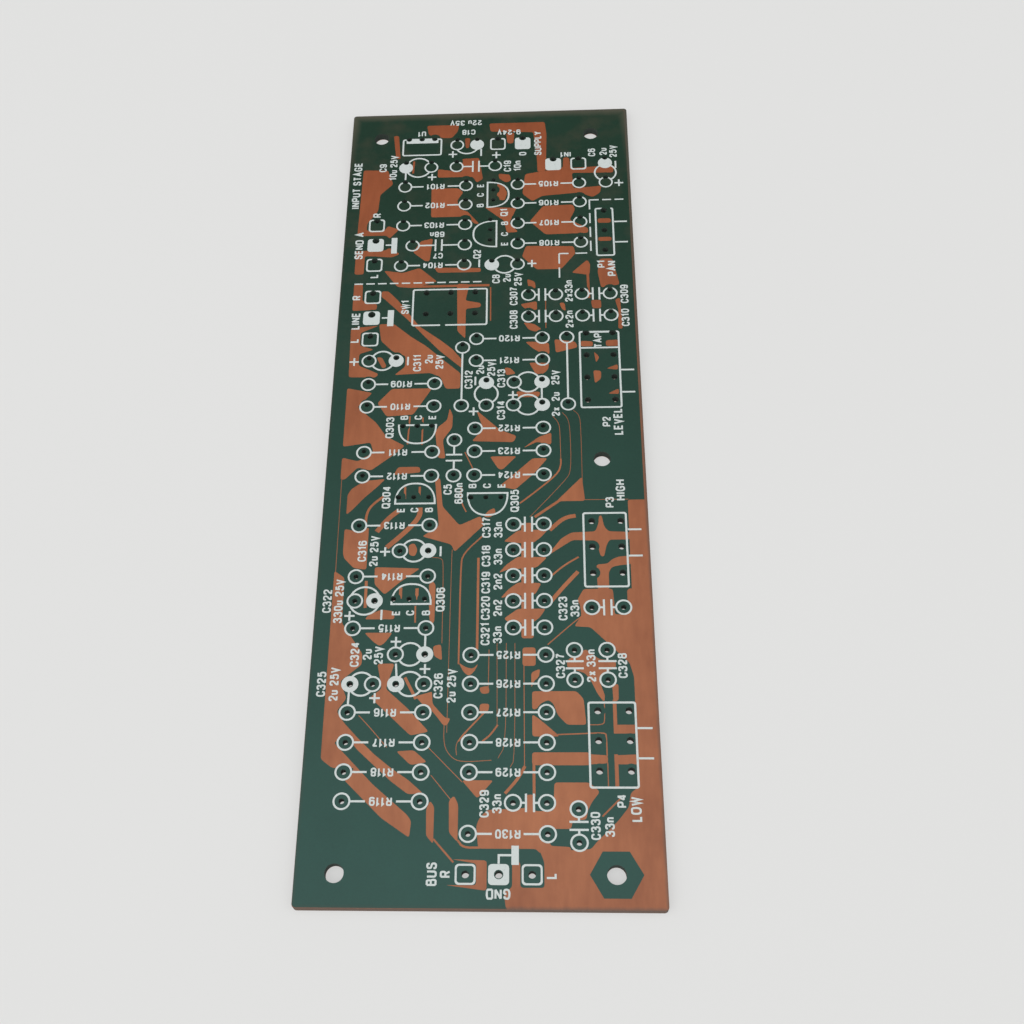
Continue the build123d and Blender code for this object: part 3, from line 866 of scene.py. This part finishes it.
class Graph:
    """The nodes of one material, or of the sky."""

    def __init__(self, owner: Owner, shader: str = "Principled BSDF") -> None:
        """Start from the shader that a new material or sky comes with.

        Args:
            owner: The material or sky.
            shader: Name of that shader's node.
        """
        self.owner = owner
        owner.use_nodes = True
        self.tree = owner.node_tree
        self.surface = self.tree.nodes[shader]

    @classmethod
    def for_material(cls, name: str) -> "Graph":
        """Start a material with a plain surface shader."""
        return cls(bpy.data.materials.new(name))

    def node(self, kind: str, settings: Optional[dict[str, Any]] = None,
             inputs: Optional[dict[Union[str, int], Any]] = None) -> bpy.types.Node:
        """Add one node.

        Args:
            kind: Node type.
            settings: Properties, set first.
            inputs: Values or links by socket name or number.

        Returns:
            The new node.
        """
        node = self.tree.nodes.new(kind)
        for key, value in (settings or {}).items():
            setattr(node, key, value)
        for key, value in (inputs or {}).items():
            self.feed(node.inputs[key], value)
        return node

    def feed(self, socket: bpy.types.NodeSocket, value: Any) -> None:
        """Link a shade to a socket, or set its value.

        Args:
            socket: The socket.
            value: Shade, link, colour or number.
        """
        if isinstance(value, Shade):
            self.tree.links.new(value.socket, socket)
        elif isinstance(value, bpy.types.NodeSocket):
            self.tree.links.new(value, socket)
        elif socket.type == "RGBA":
            socket.default_value = (*value, 1.0)
        else:
            socket.default_value = value

    def math(self, operation: str, first: Number, second: Number) -> Shade:
        """Add a Math node on two values."""
        node = self.node("ShaderNodeMath", {"operation": operation}, {0: first, 1: second})
        return Shade(self, node.outputs[0])

    def place(self, stretch: Triple = (1.0, 1.0, 1.0)) -> bpy.types.NodeSocket:
        """Give the place on the piece, in metres, stretched along its axes.

        Args:
            stretch: Factors on the three axes.

        Returns:
            The stretched place.
        """
        coordinates = self.node("ShaderNodeTexCoord").outputs["Object"]
        node = self.node("ShaderNodeVectorMath", {"operation": "MULTIPLY"}, {0: coordinates, 1: stretch})
        return node.outputs["Vector"]

    def noise(self, size: float, detail: float = 3.0, roughness: float = 0.5,
              stretch: Triple = (1.0, 1.0, 1.0)) -> Shade:
        """Add cloudy noise.

        Args:
            size: Width of one cloud in millimetres.
            detail: Finer layers.
            roughness: Strength of the finer layers.
            stretch: Factors on the three axes.

        Returns:
            The noise's value.
        """
        node = self.node(
            "ShaderNodeTexNoise", None,
            {"Vector": self.place(stretch), "Scale": 1 / (size * MM), "Detail": detail,
             "Roughness": roughness},
        )
        return Shade(self, node.outputs["Fac"])

    def mix(self, factor: Number, first: Any, second: Any) -> bpy.types.NodeSocket:
        """Blend two colours.

        Args:
            factor: Share of the second colour.
            first: Colour or link.
            second: Colour or link.

        Returns:
            The blended colour.
        """
        node = self.node("ShaderNodeMix", {"data_type": "RGBA"}, {0: factor, 6: first, 7: second})
        return node.outputs[2]

    def upright(self) -> Shade:
        """Give one on level faces and nought on walls.

        Returns:
            The value.
        """
        normal = self.node("ShaderNodeNewGeometry").outputs["Normal"]
        height = self.node("ShaderNodeSeparateXYZ", None, {0: normal}).outputs["Z"]
        return abs(Shade(self, height))

    def bump(self, height: Shade, strength: float, distance: float) -> None:
        """Raise the surface by a value.

        Args:
            height: The value.
            strength: Share of the effect.
            distance: Full rise in millimetres.
        """
        node = self.node(
            "ShaderNodeBump", None, {"Height": height, "Strength": strength, "Distance": distance * MM}
        )
        self.feed(self.surface.inputs["Normal"], node.outputs["Normal"])

    def edge_distance(self, half: Point) -> Shade:
        """Give the distance from the board's nearest outer edge, in millimetres.

        Args:
            half: Half the board's width and length in millimetres.

        Returns:
            The distance.
        """
        parts = self.node("ShaderNodeSeparateXYZ", None, {0: self.place((1 / MM, 1 / MM, 1 / MM))})
        across = half[0] - abs(Shade(self, parts.outputs["X"]))
        along = half[1] - abs(Shade(self, parts.outputs["Y"]))
        return self.math("MINIMUM", across, along)

    def nearness(self, half_length: float, span: Span) -> Shade:
        """Give how near a place lies to the board's near end.

        Args:
            half_length: Half the board's length in millimetres.
            span: Shares of the length, from the far end, over which the value rises.

        Returns:
            Nought before the span and one after it.
        """
        place = self.place((1.0, -0.5 / (half_length * MM), 1.0))
        parts = self.node("ShaderNodeSeparateXYZ", None, {0: place})
        return (Shade(self, parts.outputs["Y"]) + 0.5).clipped(*span)

    def dress(self, **values: Any) -> Owner:
        """Feed the surface's sockets.

        Args:
            values: Values or links by socket name, written small and with underscores.

        Returns:
            The finished material or sky.
        """
        for key, value in values.items():
            self.feed(self.surface.inputs[key.replace("_", " ").title()], value)
        return self.owner


@dataclass(frozen=True)
class LaminateFinish:
    """Brown resin-bonded paper: cloudy, fibrous, with a worn rim; lighter at the near end from painted
    sheen, and hole walls painted dark as shade.
    """

    half: Point
    light: Colour = (0.435, 0.152, 0.063)
    dark: Colour = (0.290, 0.091, 0.036)
    # Paper tones without the painted sheen, shown towards the far end
    far_light_without_sheen: Colour = (0.350, 0.090, 0.030)
    far_dark_without_sheen: Colour = (0.235, 0.058, 0.018)
    edge: Colour = (0.17, 0.105, 0.075)
    rim: Colour = (0.125, 0.080, 0.056)
    # Rim colour without the painted sheen, shown towards the far end
    far_rim_without_sheen: Colour = (0.078, 0.073, 0.052)
    # Painted shade: near-black colour for the hole walls, standing in for the shade inside the narrow holes
    hole: Colour = (0.036, 0.050, 0.039)
    cloud_width: float = 9.0
    fibre_width: float = 1.2
    fibre_stretch: Triple = (1.0, 0.22, 1.0)
    grain_width: float = 0.16
    grain_depth: float = 0.03
    saw_mark_width: float = 0.5
    middle_span: Span = (0.0, 14.0)
    tone_span: Span = (0.36, 0.84)
    painted_sheen_span: Span = (0.08, 0.68)
    worn_span: Span = (0.6, 1.1)
    sawn_span: Span = (0.05, 0.15)
    level_span: Span = (0.4, 0.6)

    def material(self) -> bpy.types.Material:
        """Make the material.

        Returns:
            The finished material.
        """
        graph = Graph.for_material("brown_laminate")
        cloud = graph.noise(self.cloud_width, 4.0, 0.6)
        fibre = graph.noise(self.fibre_width, 3.0, 0.6, self.fibre_stretch)
        grain = graph.noise(self.grain_width, 2.0)
        distance = graph.edge_distance(self.half)
        middle = distance.clipped(*self.middle_span)
        tone = (cloud * 0.55 + fibre * 0.45 + middle * 0.2).clipped(*self.tone_span)
        # Painted sheen: lighter, hazier colour and a fainter dark rim towards the near end, standing in for
        # the reflection there
        near = graph.nearness(self.half[1], self.painted_sheen_span)
        worn = 1.0 - (distance + fibre * 0.35 + near * 0.35).clipped(*self.worn_span)
        far = graph.mix(tone, self.far_dark_without_sheen, self.far_light_without_sheen)
        paper = graph.mix(near, far, graph.mix(tone, self.dark, self.light))
        face = graph.mix(worn * (1.0 - near * 0.3), paper, graph.mix(near, self.far_rim_without_sheen, self.rim))
        sawn = graph.mix(graph.noise(self.saw_mark_width), self.edge, self.rim)
        # Painted shade: the hole walls, away from the sawn outer edge, take the near-black hole colour
        wall_and_hole_shade = graph.mix(distance.clipped(*self.sawn_span), sawn, self.hole)
        level = graph.upright().clipped(*self.level_span)
        graph.bump(grain * 0.6 + fibre * 0.4, 0.25, self.grain_depth)
        colour = graph.mix(level, wall_and_hole_shade, face)
        return graph.dress(base_color=colour, roughness=0.8 - level * 0.44 + grain * 0.08)


@dataclass(frozen=True)
class TrackPrintFinish:
    """Dark green satin ink: olive in patches at the far end, worn at the rim, and lighter and bluer at the
    near end from painted sheen.
    """

    half: Point
    light: Colour = (0.0155, 0.075, 0.055)
    dark: Colour = (0.0110, 0.058, 0.043)
    # Ink tones without the painted sheen, shown towards the far end
    far_light_without_sheen: Colour = (0.0115, 0.041, 0.0225)
    far_dark_without_sheen: Colour = (0.0085, 0.032, 0.0170)
    olive: Colour = (0.036, 0.047, 0.027)
    worn: Colour = (0.055, 0.042, 0.028)
    far_worn: Colour = (0.105, 0.095, 0.064)
    cloud_width: float = 14.0
    speck_width: float = 0.35
    speck_depth: float = 0.02
    rub_width: float = 1.6
    patch_width: float = 6.0
    tone_span: Span = (0.3, 0.7)
    painted_sheen_span: Span = (0.15, 0.95)
    far_end_span: Span = (0.0, 0.12)
    wear_span: Span = (0.5, 2.3)
    patch_span: Span = (0.48, 0.7)
    patch_fade_span: Span = (0.2, 0.5)

    def material(self) -> bpy.types.Material:
        """Make the material.

        Returns:
            The finished material.
        """
        graph = Graph.for_material("green_track_print")
        cloud = graph.noise(self.cloud_width, 4.0, 0.6)
        speck = graph.noise(self.speck_width, 2.0, 0.6)
        tone = (cloud * 0.6 + speck * 0.4).clipped(*self.tone_span)
        rub = graph.edge_distance(self.half) + graph.noise(self.rub_width, 3.0, 0.6) * 0.5
        inward = graph.nearness(self.half[1], self.far_end_span)
        wear = 1.0 - (rub + inward * 1.4).clipped(*self.wear_span)
        patch = graph.noise(self.patch_width, 3.0, 0.6).clipped(*self.patch_span)
        patch = patch * (1.0 - graph.nearness(self.half[1], self.patch_fade_span))
        graph.bump(speck, 0.2, self.speck_depth)
        far = graph.mix(patch * 0.8, graph.mix(tone, self.far_dark_without_sheen, self.far_light_without_sheen), self.olive)
        # Painted sheen: the ink grows lighter and bluer towards the near end, standing in for the reflection
        # there
        near = graph.nearness(self.half[1], self.painted_sheen_span)
        ink = graph.mix(near, far, graph.mix(tone, self.dark, self.light))
        rim = graph.mix(inward, self.far_worn, self.worn)
        return graph.dress(base_color=graph.mix(wear * 0.8, ink, rim), roughness=0.28 + speck * 0.14)


@dataclass(frozen=True)
class LegendFinish:
    """White marking ink: matt, with thin patches where the colour below shows a little."""

    white: Colour = (0.640, 0.675, 0.640)
    thin: Colour = (0.47, 0.53, 0.49)
    patch_width: float = 0.7
    patch_span: Span = (0.58, 0.78)
    grain_width: float = 0.2
    grain_depth: float = 0.02

    def material(self) -> bpy.types.Material:
        """Make the material.

        Returns:
            The finished material.
        """
        graph = Graph.for_material("white_legend_ink")
        patch = graph.noise(self.patch_width, 3.0, 0.65).clipped(*self.patch_span)
        graph.bump(graph.noise(self.grain_width, 2.0), 0.2, self.grain_depth)
        return graph.dress(base_color=graph.mix(patch, self.white, self.thin), roughness=0.5 + patch * 0.2)


@dataclass(frozen=True)
class CopperFinish:
    """Bare copper foil: brushed along the board, with cloudy browning."""

    bright: Colour = (0.78, 0.38, 0.22)
    brown: Colour = (0.42, 0.17, 0.09)
    cloud_width: float = 11.0
    cloud_span: Span = (0.42, 0.72)
    brush_width: float = 0.25
    brush_stretch: Triple = (1.0, 0.06, 1.0)
    brush_depth: float = 0.02
    tone_span: Span = (0.1, 0.9)

    def material(self) -> bpy.types.Material:
        """Make the material.

        Returns:
            The finished material.
        """
        graph = Graph.for_material("copper_foil")
        cloud = graph.noise(self.cloud_width, 5.0, 0.65).clipped(*self.cloud_span)
        brush = graph.noise(self.brush_width, 3.0, 0.6, self.brush_stretch)
        graph.bump(brush, 0.15, self.brush_depth)
        tone = (cloud * 0.7 + brush * 0.3).clipped(*self.tone_span)
        foil = graph.mix(tone, self.bright, self.brown)
        return graph.dress(base_color=foil, roughness=0.26 + cloud * 0.22 + brush * 0.1, metallic=1.0)


@dataclass(frozen=True)
class FloorFinish:
    """Plain pale ground, with some brightness of its own as a background, so that shadows stay faint."""

    bounce: Colour = (0.465, 0.456, 0.438)
    pale: Colour = (0.270, 0.265, 0.254)
    white: Colour = (0.282, 0.277, 0.266)
    glow: Colour = (0.485, 0.484, 0.478)
    unlit: Colour = (0.0, 0.0, 0.0)
    cloud_width: float = 90.0

    def material(self) -> bpy.types.Material:
        """Make the material.

        Returns:
            The finished material.
        """
        graph = Graph.for_material("pale_floor")
        ground = graph.mix(graph.noise(self.cloud_width), self.pale, self.white)
        rays = graph.node("ShaderNodeLightPath").outputs
        seen = Shade(graph, rays["Is Camera Ray"]) + Shade(graph, rays["Is Glossy Ray"])
        seen = (seen + Shade(graph, rays["Is Transmission Ray"])).clipped(0.0, 1.0)
        face = graph.mix(seen, self.bounce, ground)
        own = graph.mix(seen, self.unlit, self.glow)
        return graph.dress(base_color=face, roughness=0.85, emission_color=own, emission_strength=1.0)


def show(piece: bpy.types.Object, material: bpy.types.Material) -> None:
    """Dress a piece, let it ride with the board and report it.

    Args:
        piece: The new piece.
        material: Its finish.
    """
    piece.data.materials.append(material)
    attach(piece, "root")
    LOG.info("%s: %d faces", piece.name, len(piece.data.polygons))


@dataclass
class PrintedBoard:
    """The laminate, the copper tracks below it and their green print above, with a land round one screw."""

    board: Board
    drilling: Drilling
    foil: float = 0.035
    legend_rise: float = 0.012
    ink: float = 0.008
    corner: float = 0.6
    landed_screw: int = 3
    screw_land: float = 8.2
    land_sides: int = 6
    pad_sides: int = 24
    margins: Edges = (0.03, 0.4, 0.5, 0.1)
    foil_margin: float = 0.4
    etch_rounding: float = 0.5
    lead_pad: float = 2.5
    tag_pad: float = 2.4

    def outline(self, margins: Edges = (0.0, 0.0, 0.0, 0.0)) -> Loop:
        """Draw the board's plan.

        Args:
            margins: Margins at the left, far, right and near edges.

        Returns:
            The outline.
        """
        left, far, right, near = margins
        low = (-self.board.width / 2 + left, -self.board.length / 2 + near)
        high = (self.board.width / 2 - right, self.board.length / 2 - far)
        return rounded_box(low, high, self.corner)

    @property
    def half(self) -> Point:
        """Half the board's width and length."""
        return self.board.width / 2, self.board.length / 2

    @property
    def ink_low(self) -> float:
        """Height of the laminate's upper face."""
        return self.ink_high - self.ink

    @property
    def ink_high(self) -> float:
        """Height of the track print's upper face."""
        return self.board.high - self.legend_rise

    def tracks(self, margins: Edges) -> Stencil:
        """Draw the tracks, drilled.

        Args:
            margins: How far they stay from the left, far, right and near edges.

        Returns:
            The pattern.
        """
        stencil = Stencil()
        stencil.lay(self.outline(margins))
        fields = [self.board.loop(shares) for shares in BARE_FIELD_SHARES + SMALL_BARE_SHARES]
        stencil.cut(*[softened(loop, self.etch_rounding) for loop in fields])
        stencil.cut(*[stroke(smoothed(self.board.loop(line)), width) for width, line in TRACK_GAP_SHARES])
        screw = self.drilling.screws()[self.landed_screw]
        stencil.lay(circle(screw, self.screw_land / 2, self.land_sides))
        pads = ((self.drilling.leads(), self.lead_pad), (self.drilling.tags(), self.tag_pad))
        for places, diameter in pads:
            stencil.lay(*[circle(place, diameter / 2, self.pad_sides) for place in places])
        stencil.cut(*self.drilling.rings())
        return stencil

    def build(self) -> None:
        """Make and dress the three pieces."""
        sheet = Stencil()
        sheet.lay(self.outline())
        sheet.cut(*self.drilling.rings())
        laminate = sheet.solid("laminate", self.board.low + self.foil, self.ink_low)
        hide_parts("circuit_board")
        show(laminate, LaminateFinish(self.half).material())
        even = (self.foil_margin,) * 4
        copper = self.tracks(even).solid("copper_tracks", self.board.low, self.board.low + self.foil)
        show(copper, CopperFinish().material())
        ink = self.tracks(self.margins).solid("track_print", self.ink_low, self.ink_high)
        show(ink, TrackPrintFinish(self.half).material())


@dataclass
class Legend:
    """The white component legend, printed a little nearer than the holes towards the far end."""

    board: Board
    drilling: Drilling
    low: float
    ring_radius: float = 1.42
    ring_line: float = 0.31
    line: float = 0.34
    fine_line: float = 0.3
    square: float = 3.2
    square_corner: float = 0.6
    plate: float = 2.95
    plate_gap: float = 1.25
    plus: float = 1.75
    minus: float = 1.9
    can_sides: int = 48
    box_corner_share: float = 1.4
    box_inner_corner_share: float = 0.6
    back_steps: int = 28
    back_power: float = 0.85
    first_resistor: int = 101
    label_gap: float = 4.9
    label_height: float = 1.45
    far_drift_share: float = 10.4
    drift_end_share: float = 629.0
    dash_share: float = 0.72
    letter_line_share: float = 0.19
    letter_width_share: float = 0.9
    letter_gap_share: float = 0.3
    hole_clearance: float = 0.13
    stencil: Stencil = field(default_factory=Stencil)

    def printed(self, hole: Point) -> Point:
        """Give where the legend marks a hole: the legend drifts towards the near end as it goes far.

        Args:
            hole: Place of the hole in millimetres.

        Returns:
            Place of its mark.
        """
        share = MIDDLE_SHARE - hole[1] / self.board.length / THOUSANDTH
        marked = (share + self.far_drift_share) / (1 + self.far_drift_share / self.drift_end_share)
        return hole[0], (MIDDLE_SHARE - max(share, marked)) * THOUSANDTH * self.board.length

    def pads(self, pair: Pair) -> tuple[Vector, Vector]:
        """Give the marks of a part's two leads."""
        return Vector(self.printed(pair[0])), Vector(self.printed(pair[1]))

    def ring(self, centre: Sequence[float], filled: bool = False) -> None:
        """Mark a lead with a ring, or with a filled disc.

        Args:
            centre: Middle of the mark.
            filled: Whether it is a disc.
        """
        self.stencil.lay(circle(centre, self.ring_radius))
        if not filled:
            self.stencil.cut(circle(centre, self.ring_radius - self.ring_line))

    def segment(self, start: Vector, end: Vector, width: float) -> None:
        """Draw a straight line."""
        self.stencil.lay(stroke([tuple(start), tuple(end)], width))

    def resistor(self, pair: Pair) -> None:
        """Draw two rings with a line between them that leaves room for a label.

        Args:
            pair: Places of its two leads.
        """
        start, end = self.pads(pair)
        way = (end - start).normalized()
        middle = (start + end) / 2
        for pad, side in ((start, 1), (end, -1)):
            edge = pad + way * side * (self.ring_radius - self.ring_line / 2)
            self.segment(edge, middle - way * side * self.label_gap / 2, self.line)
            self.ring(pad)

    def film_capacitor(self, pair: Pair) -> None:
        """Draw two rings and the two plates between them.

        Args:
            pair: Places of its two leads.
        """
        start, end = self.pads(pair)
        way = (end - start).normalized()
        across = Vector((-way.y, way.x)) * (self.plate / 2)
        middle = (start + end) / 2
        for pad, side in ((start, 1), (end, -1)):
            plate = middle - way * side * self.plate_gap / 2
            edge = pad + way * side * (self.ring_radius - self.ring_line / 2)
            self.segment(edge, plate, self.line)
            self.segment(plate - across, plate + across, self.line)
            self.ring(pad)

    def can(self, pair: Pair, radius: float) -> None:
        """Draw an electrolytic capacitor's round outline between its leads.

        Args:
            pair: Places of its two leads.
            radius: Radius of the outline.
        """
        plus, minus = self.pads(pair)
        middle = tuple((plus + minus) / 2)
        outer, inner = (circle(middle, size, self.can_sides) for size in (radius, radius - self.line))
        self.stencil.frame_lines(outer, inner)

    def link(self, pair: Pair) -> None:
        """Draw a wire link.

        Args:
            pair: Places of its two leads.
        """
        start, end = self.pads(pair)
        way = (end - start).normalized() * (self.ring_radius - self.ring_line / 2)
        self.segment(start + way, end - way, self.line)
        self.ring(start)
        self.ring(end)

    def terminal(self, hole: Point, filled: bool) -> None:
        """Mark a terminal pin with a square, open or filled.

        Args:
            hole: Place of the pin's hole.
            filled: Whether the square is filled.
        """
        x, y = self.printed(hole)
        half = self.square / 2
        self.stencil.lay(rounded_box((x - half, y - half), (x + half, y + half), self.square_corner))
        if not filled:
            half -= self.ring_line
            corner = self.square_corner - self.ring_line / 2
            self.stencil.cut(rounded_box((x - half, y - half), (x + half, y + half), corner))

    def rectangle(self, edges: Edges) -> None:
        """Draw a rectangle's outline.

        Args:
            edges: Left, far, right and near edges as shares.
        """
        low, high = self.board.corners(edges)
        inset = self.line
        inner_low, inner_high = (low[0] + inset, low[1] + inset), (high[0] - inset, high[1] - inset)
        self.stencil.frame_lines(
            rounded_box(low, high, self.line * self.box_corner_share),
            rounded_box(inner_low, inner_high, self.line * self.box_inner_corner_share),
        )

    def bar(self, edges: Edges, kept: bool = True) -> None:
        """Draw a filled rectangle, or leave one blank.

        Args:
            edges: Left, far, right and near edges as shares.
            kept: Whether it is filled.
        """
        low, high = self.board.corners(edges)
        draw = self.stencil.lay if kept else self.stencil.cut
        draw([low, (high[0], low[1]), high, (low[0], high[1])])

    def transistor(self, flat: Flat, edges: Edges) -> None:
        """Draw a transistor's outline: one flat side, and a round back.

        Args:
            flat: The flat side.
            edges: Left, far, right and near edges as shares.
        """
        low, high = self.board.corners(edges)
        outer, inner = (self.rounded_back(flat, low, high, inset) for inset in (0.0, self.line))
        self.stencil.frame_lines(outer, inner)

    def rounded_back(self, flat: Flat, low: Point, high: Point, inset: float) -> Loop:
        """Draw a half-round outline in a box.

        Args:
            flat: The flat side.
            low: The box's low corner.
            high: The box's high corner.
            inset: How far the outline is drawn in.

        Returns:
            The outline's points.
        """
        wide = flat in (Flat.FAR, Flat.NEAR)
        span = (high[0] - low[0] if wide else high[1] - low[1]) / 2 - inset
        depth = (high[1] - low[1] if wide else high[0] - low[0]) - 2 * inset
        middle = (low[0] + high[0]) / 2 if wide else (low[1] + high[1]) / 2
        base, away = {
            Flat.FAR: (high[1] - inset, -1), Flat.NEAR: (low[1] + inset, 1),
            Flat.LEFT: (low[0] + inset, 1), Flat.RIGHT: (high[0] - inset, -1),
        }[flat]
        outline = []
        for step in range(self.back_steps + 1):
            turn = math.pi * step / self.back_steps
            along = math.copysign(abs(math.cos(turn)) ** self.back_power, math.cos(turn)) * span
            out = base + away * depth * math.sin(turn) ** self.back_power
            outline.append((middle + along, out) if wide else (out, middle + along))
        return outline

    def plus_sign(self, share: Share) -> None:
        """Draw a plus sign.

        Args:
            share: Middle of the sign.
        """
        x, y = self.board.point(share)
        half = self.plus / 2
        self.stencil.lay(stroke([(x - half, y), (x + half, y)], self.line))
        self.stencil.lay(stroke([(x, y - half), (x, y + half)], self.line))

    def minus_sign(self, share: Share) -> None:
        """Draw a minus sign, turned upward as the other lettering is.

        Args:
            share: Middle of the sign.
        """
        x, y = self.board.point(share)
        half = self.minus / 2
        self.stencil.lay(stroke([(x, y - half), (x, y + half)], self.line))

    def dashed(self, start: Share, end: Share, count: int) -> None:
        """Draw a dashed line.

        Args:
            start: Where the line starts.
            end: Where it ends.
            count: How many dashes it has.
        """
        first, last = Vector(self.board.point(start)), Vector(self.board.point(end))
        step = (last - first) / count
        for index in range(count):
            dash = first + step * index
            self.segment(dash, dash + step * self.dash_share, self.fine_line)

    def lettering(self, words: str, centre: Point, height: float, turn: Turn) -> None:
        """Lay a short piece of lettering.

        Args:
            words: The letters.
            centre: Middle of the lettering in millimetres.
            height: Height of a capital in millimetres.
            turn: How it is turned.
        """
        width = height * self.letter_line_share
        rise = height - width
        squeeze = rise * self.letter_width_share
        gap = height * self.letter_gap_share
        spans = [GLYPHS[letter][0] * squeeze for letter in words]
        start = -(sum(spans) + gap * (len(words) - 1)) / 2
        cosine, sine = math.cos(math.radians(turn.value)), math.sin(math.radians(turn.value))
        for letter, span in zip(words, spans):
            for pen, points in GLYPHS[letter][1]:
                line = smoothed(points) if pen is Pen.SMOOTH else points
                flat = [(start + x * squeeze, (y - 0.5) * rise) for x, y in line]
                turned = [
                    (centre[0] + x * cosine - y * sine, centre[1] + x * sine + y * cosine) for x, y in flat
                ]
                self.stencil.lay(stroke(turned, width))
            start += span + gap

    def draw_outlines(self) -> None:
        """Draw the outlines that other marks lie on."""
        cans = list(zip(self.drilling.pairs(ELECTROLYTIC_SHARES), ELECTROLYTIC_SHARES))
        for pair, row in cans:
            self.can(pair, row[2])
        for edges in RECTANGLE_SHARES + (REGULATOR_SHARES,):
            self.rectangle(edges)
        for edges in LEGEND_BLANK_SHARES:
            self.bar(edges, kept=False)
        for pair, _ in cans:
            plus, minus = self.pads(pair)
            self.ring(plus)
            self.ring(minus, filled=True)
        for flat, *edges in TRANSISTOR_OUTLINE_SHARES:
            self.transistor(flat, tuple(edges))
        for edges in GROUND_BAR_SHARES + (REGULATOR_BAR_SHARES,):
            self.bar(edges)
        for line in LEGEND_LINE_SHARES:
            self.stencil.lay(stroke(self.board.loop(line), self.line))
        for start, end, count in DASHED_LINE_SHARES:
            self.dashed(start, end, count)

    def draw_parts(self) -> None:
        """Draw the marks of the leads."""
        for pair in self.drilling.resistors():
            self.resistor(pair)
        for pair in self.drilling.pairs(FILM_CAPACITOR_SHARES):
            self.film_capacitor(pair)
        for pair in self.drilling.pairs(WIRE_LINK_SHARES):
            self.link(pair)
        filled = [Vector(self.board.point(share)) for share in FILLED_TERMINAL_SHARES]
        for hole in self.drilling.terminals():
            nearest = min((Vector(hole) - place).length for place in filled)
            self.terminal(hole, nearest < self.drilling.terminal_pitch / 2)

    def draw_lettering(self) -> None:
        """Draw the signs, the part numbers and the words."""
        for share in PLUS_SHARES:
            self.plus_sign(share)
        for share in MINUS_SHARES:
            self.minus_sign(share)
        for number, pair in enumerate(self.drilling.resistors(), start=self.first_resistor):
            start, end = self.pads(pair)
            self.lettering(f"R{number}", tuple((start + end) / 2), self.label_height, Turn.INVERTED)
        for turn, height, labels in LETTERING_SHARES:
            for words, share in labels:
                self.lettering(words, self.board.point(share), height, turn)

    def build(self) -> None:
        """Draw the whole legend, drill it and dress it."""
        self.draw_outlines()
        self.draw_parts()
        self.draw_lettering()
        self.stencil.cut(*self.drilling.rings(self.hole_clearance))
        show(self.stencil.solid("legend", self.low, self.board.high), LegendFinish().material())


@dataclass
class Studio:
    """The pale floor, the soft light and the camera at the photograph's viewing angle."""

    floor_half: float = 20.0
    floor_drop: float = 0.02
    sky: Colour = (1.145, 1.178, 1.222)
    back: Colour = (0.03, 0.03, 0.03)
    horizon: Colour = (0.77, 0.77, 0.76)
    back_span: Span = (0.12, 0.68)
    horizon_span: Span = (0.2, 0.45)
    lamp_power: float = 1.2
    lamp_size: float = 0.7
    lamp_place: Triple = (-0.55, -0.45, 0.8)
    camera_place: Triple = (10.27, -127.71, 207.22)
    camera_turn: Triple = (29.0504, 3.4528, 1.2155)
    sensor: float = 36.0
    clip_start: float = 0.01
    lens: float = 47.266
    shift: float = 0.05268

    def build(self) -> None:
        """Set the floor, the lights and the camera."""
        self.build_floor()
        self.build_light()
        self.build_camera()

    def build_floor(self) -> None:
        """Lay the floor."""
        half = self.floor_half
        low = -self.floor_drop * MM
        corners = [(-half, -half, low), (half, -half, low), (half, half, low), (-half, half, low)]
        mesh = bpy.data.meshes.new("floor")
        mesh.from_pydata(corners, [], [(0, 1, 2, 3)])
        floor = bpy.data.objects.new("floor", mesh)
        bpy.context.scene.collection.objects.link(floor)
        mesh.materials.append(FloorFinish().material())

    def build_light(self) -> None:
        """Hang a broad lamp at the left, under a sky that is dark high behind and pale at the horizon."""
        sky = Graph(bpy.data.worlds.new("soft_sky"), "Background")
        way = sky.node("ShaderNodeTexCoord").outputs["Generated"]
        parts = sky.node("ShaderNodeSeparateXYZ", None, {0: way}).outputs
        depth, height = Shade(sky, parts["Y"]), Shade(sky, parts["Z"])
        high = sky.mix(depth.clipped(*self.back_span), self.sky, self.back)
        colour = sky.mix(height.clipped(*self.horizon_span), self.horizon, high)
        bpy.context.scene.world = sky.dress(color=colour)
        lamp = bpy.data.lights.new("broad_lamp", "AREA")
        lamp.shape = "DISK"
        lamp.size = self.lamp_size
        lamp.energy = self.lamp_power
        carrier = bpy.data.objects.new("broad_lamp", lamp)
        carrier.location = self.lamp_place
        carrier.rotation_euler = (-Vector(self.lamp_place)).to_track_quat("-Z", "Y").to_euler()
        bpy.context.scene.collection.objects.link(carrier)

    def build_camera(self) -> None:
        """Set the camera."""
        data = bpy.data.cameras.new("camera")
        data.lens = self.lens
        data.sensor_width = self.sensor
        data.shift_x = self.shift
        data.clip_start = self.clip_start
        camera = bpy.data.objects.new("camera", data)
        camera.location = [value * MM for value in self.camera_place]
        camera.rotation_euler = [math.radians(value) for value in self.camera_turn]
        bpy.context.scene.collection.objects.link(camera)
        bpy.context.scene.camera = camera


def main() -> None:
    """Build the board's pieces and the studio."""
    logging.basicConfig(level=logging.INFO, format="%(name)s: %(message)s")
    board = Board.from_frame()
    drilling = Drilling(board)
    printed = PrintedBoard(board, drilling)
    printed.build()
    Legend(board, drilling, printed.ink_low).build()
    Studio().build()
    bpy.context.scene.view_settings.view_transform = "Standard"


if __name__ == "__main__":
    main()
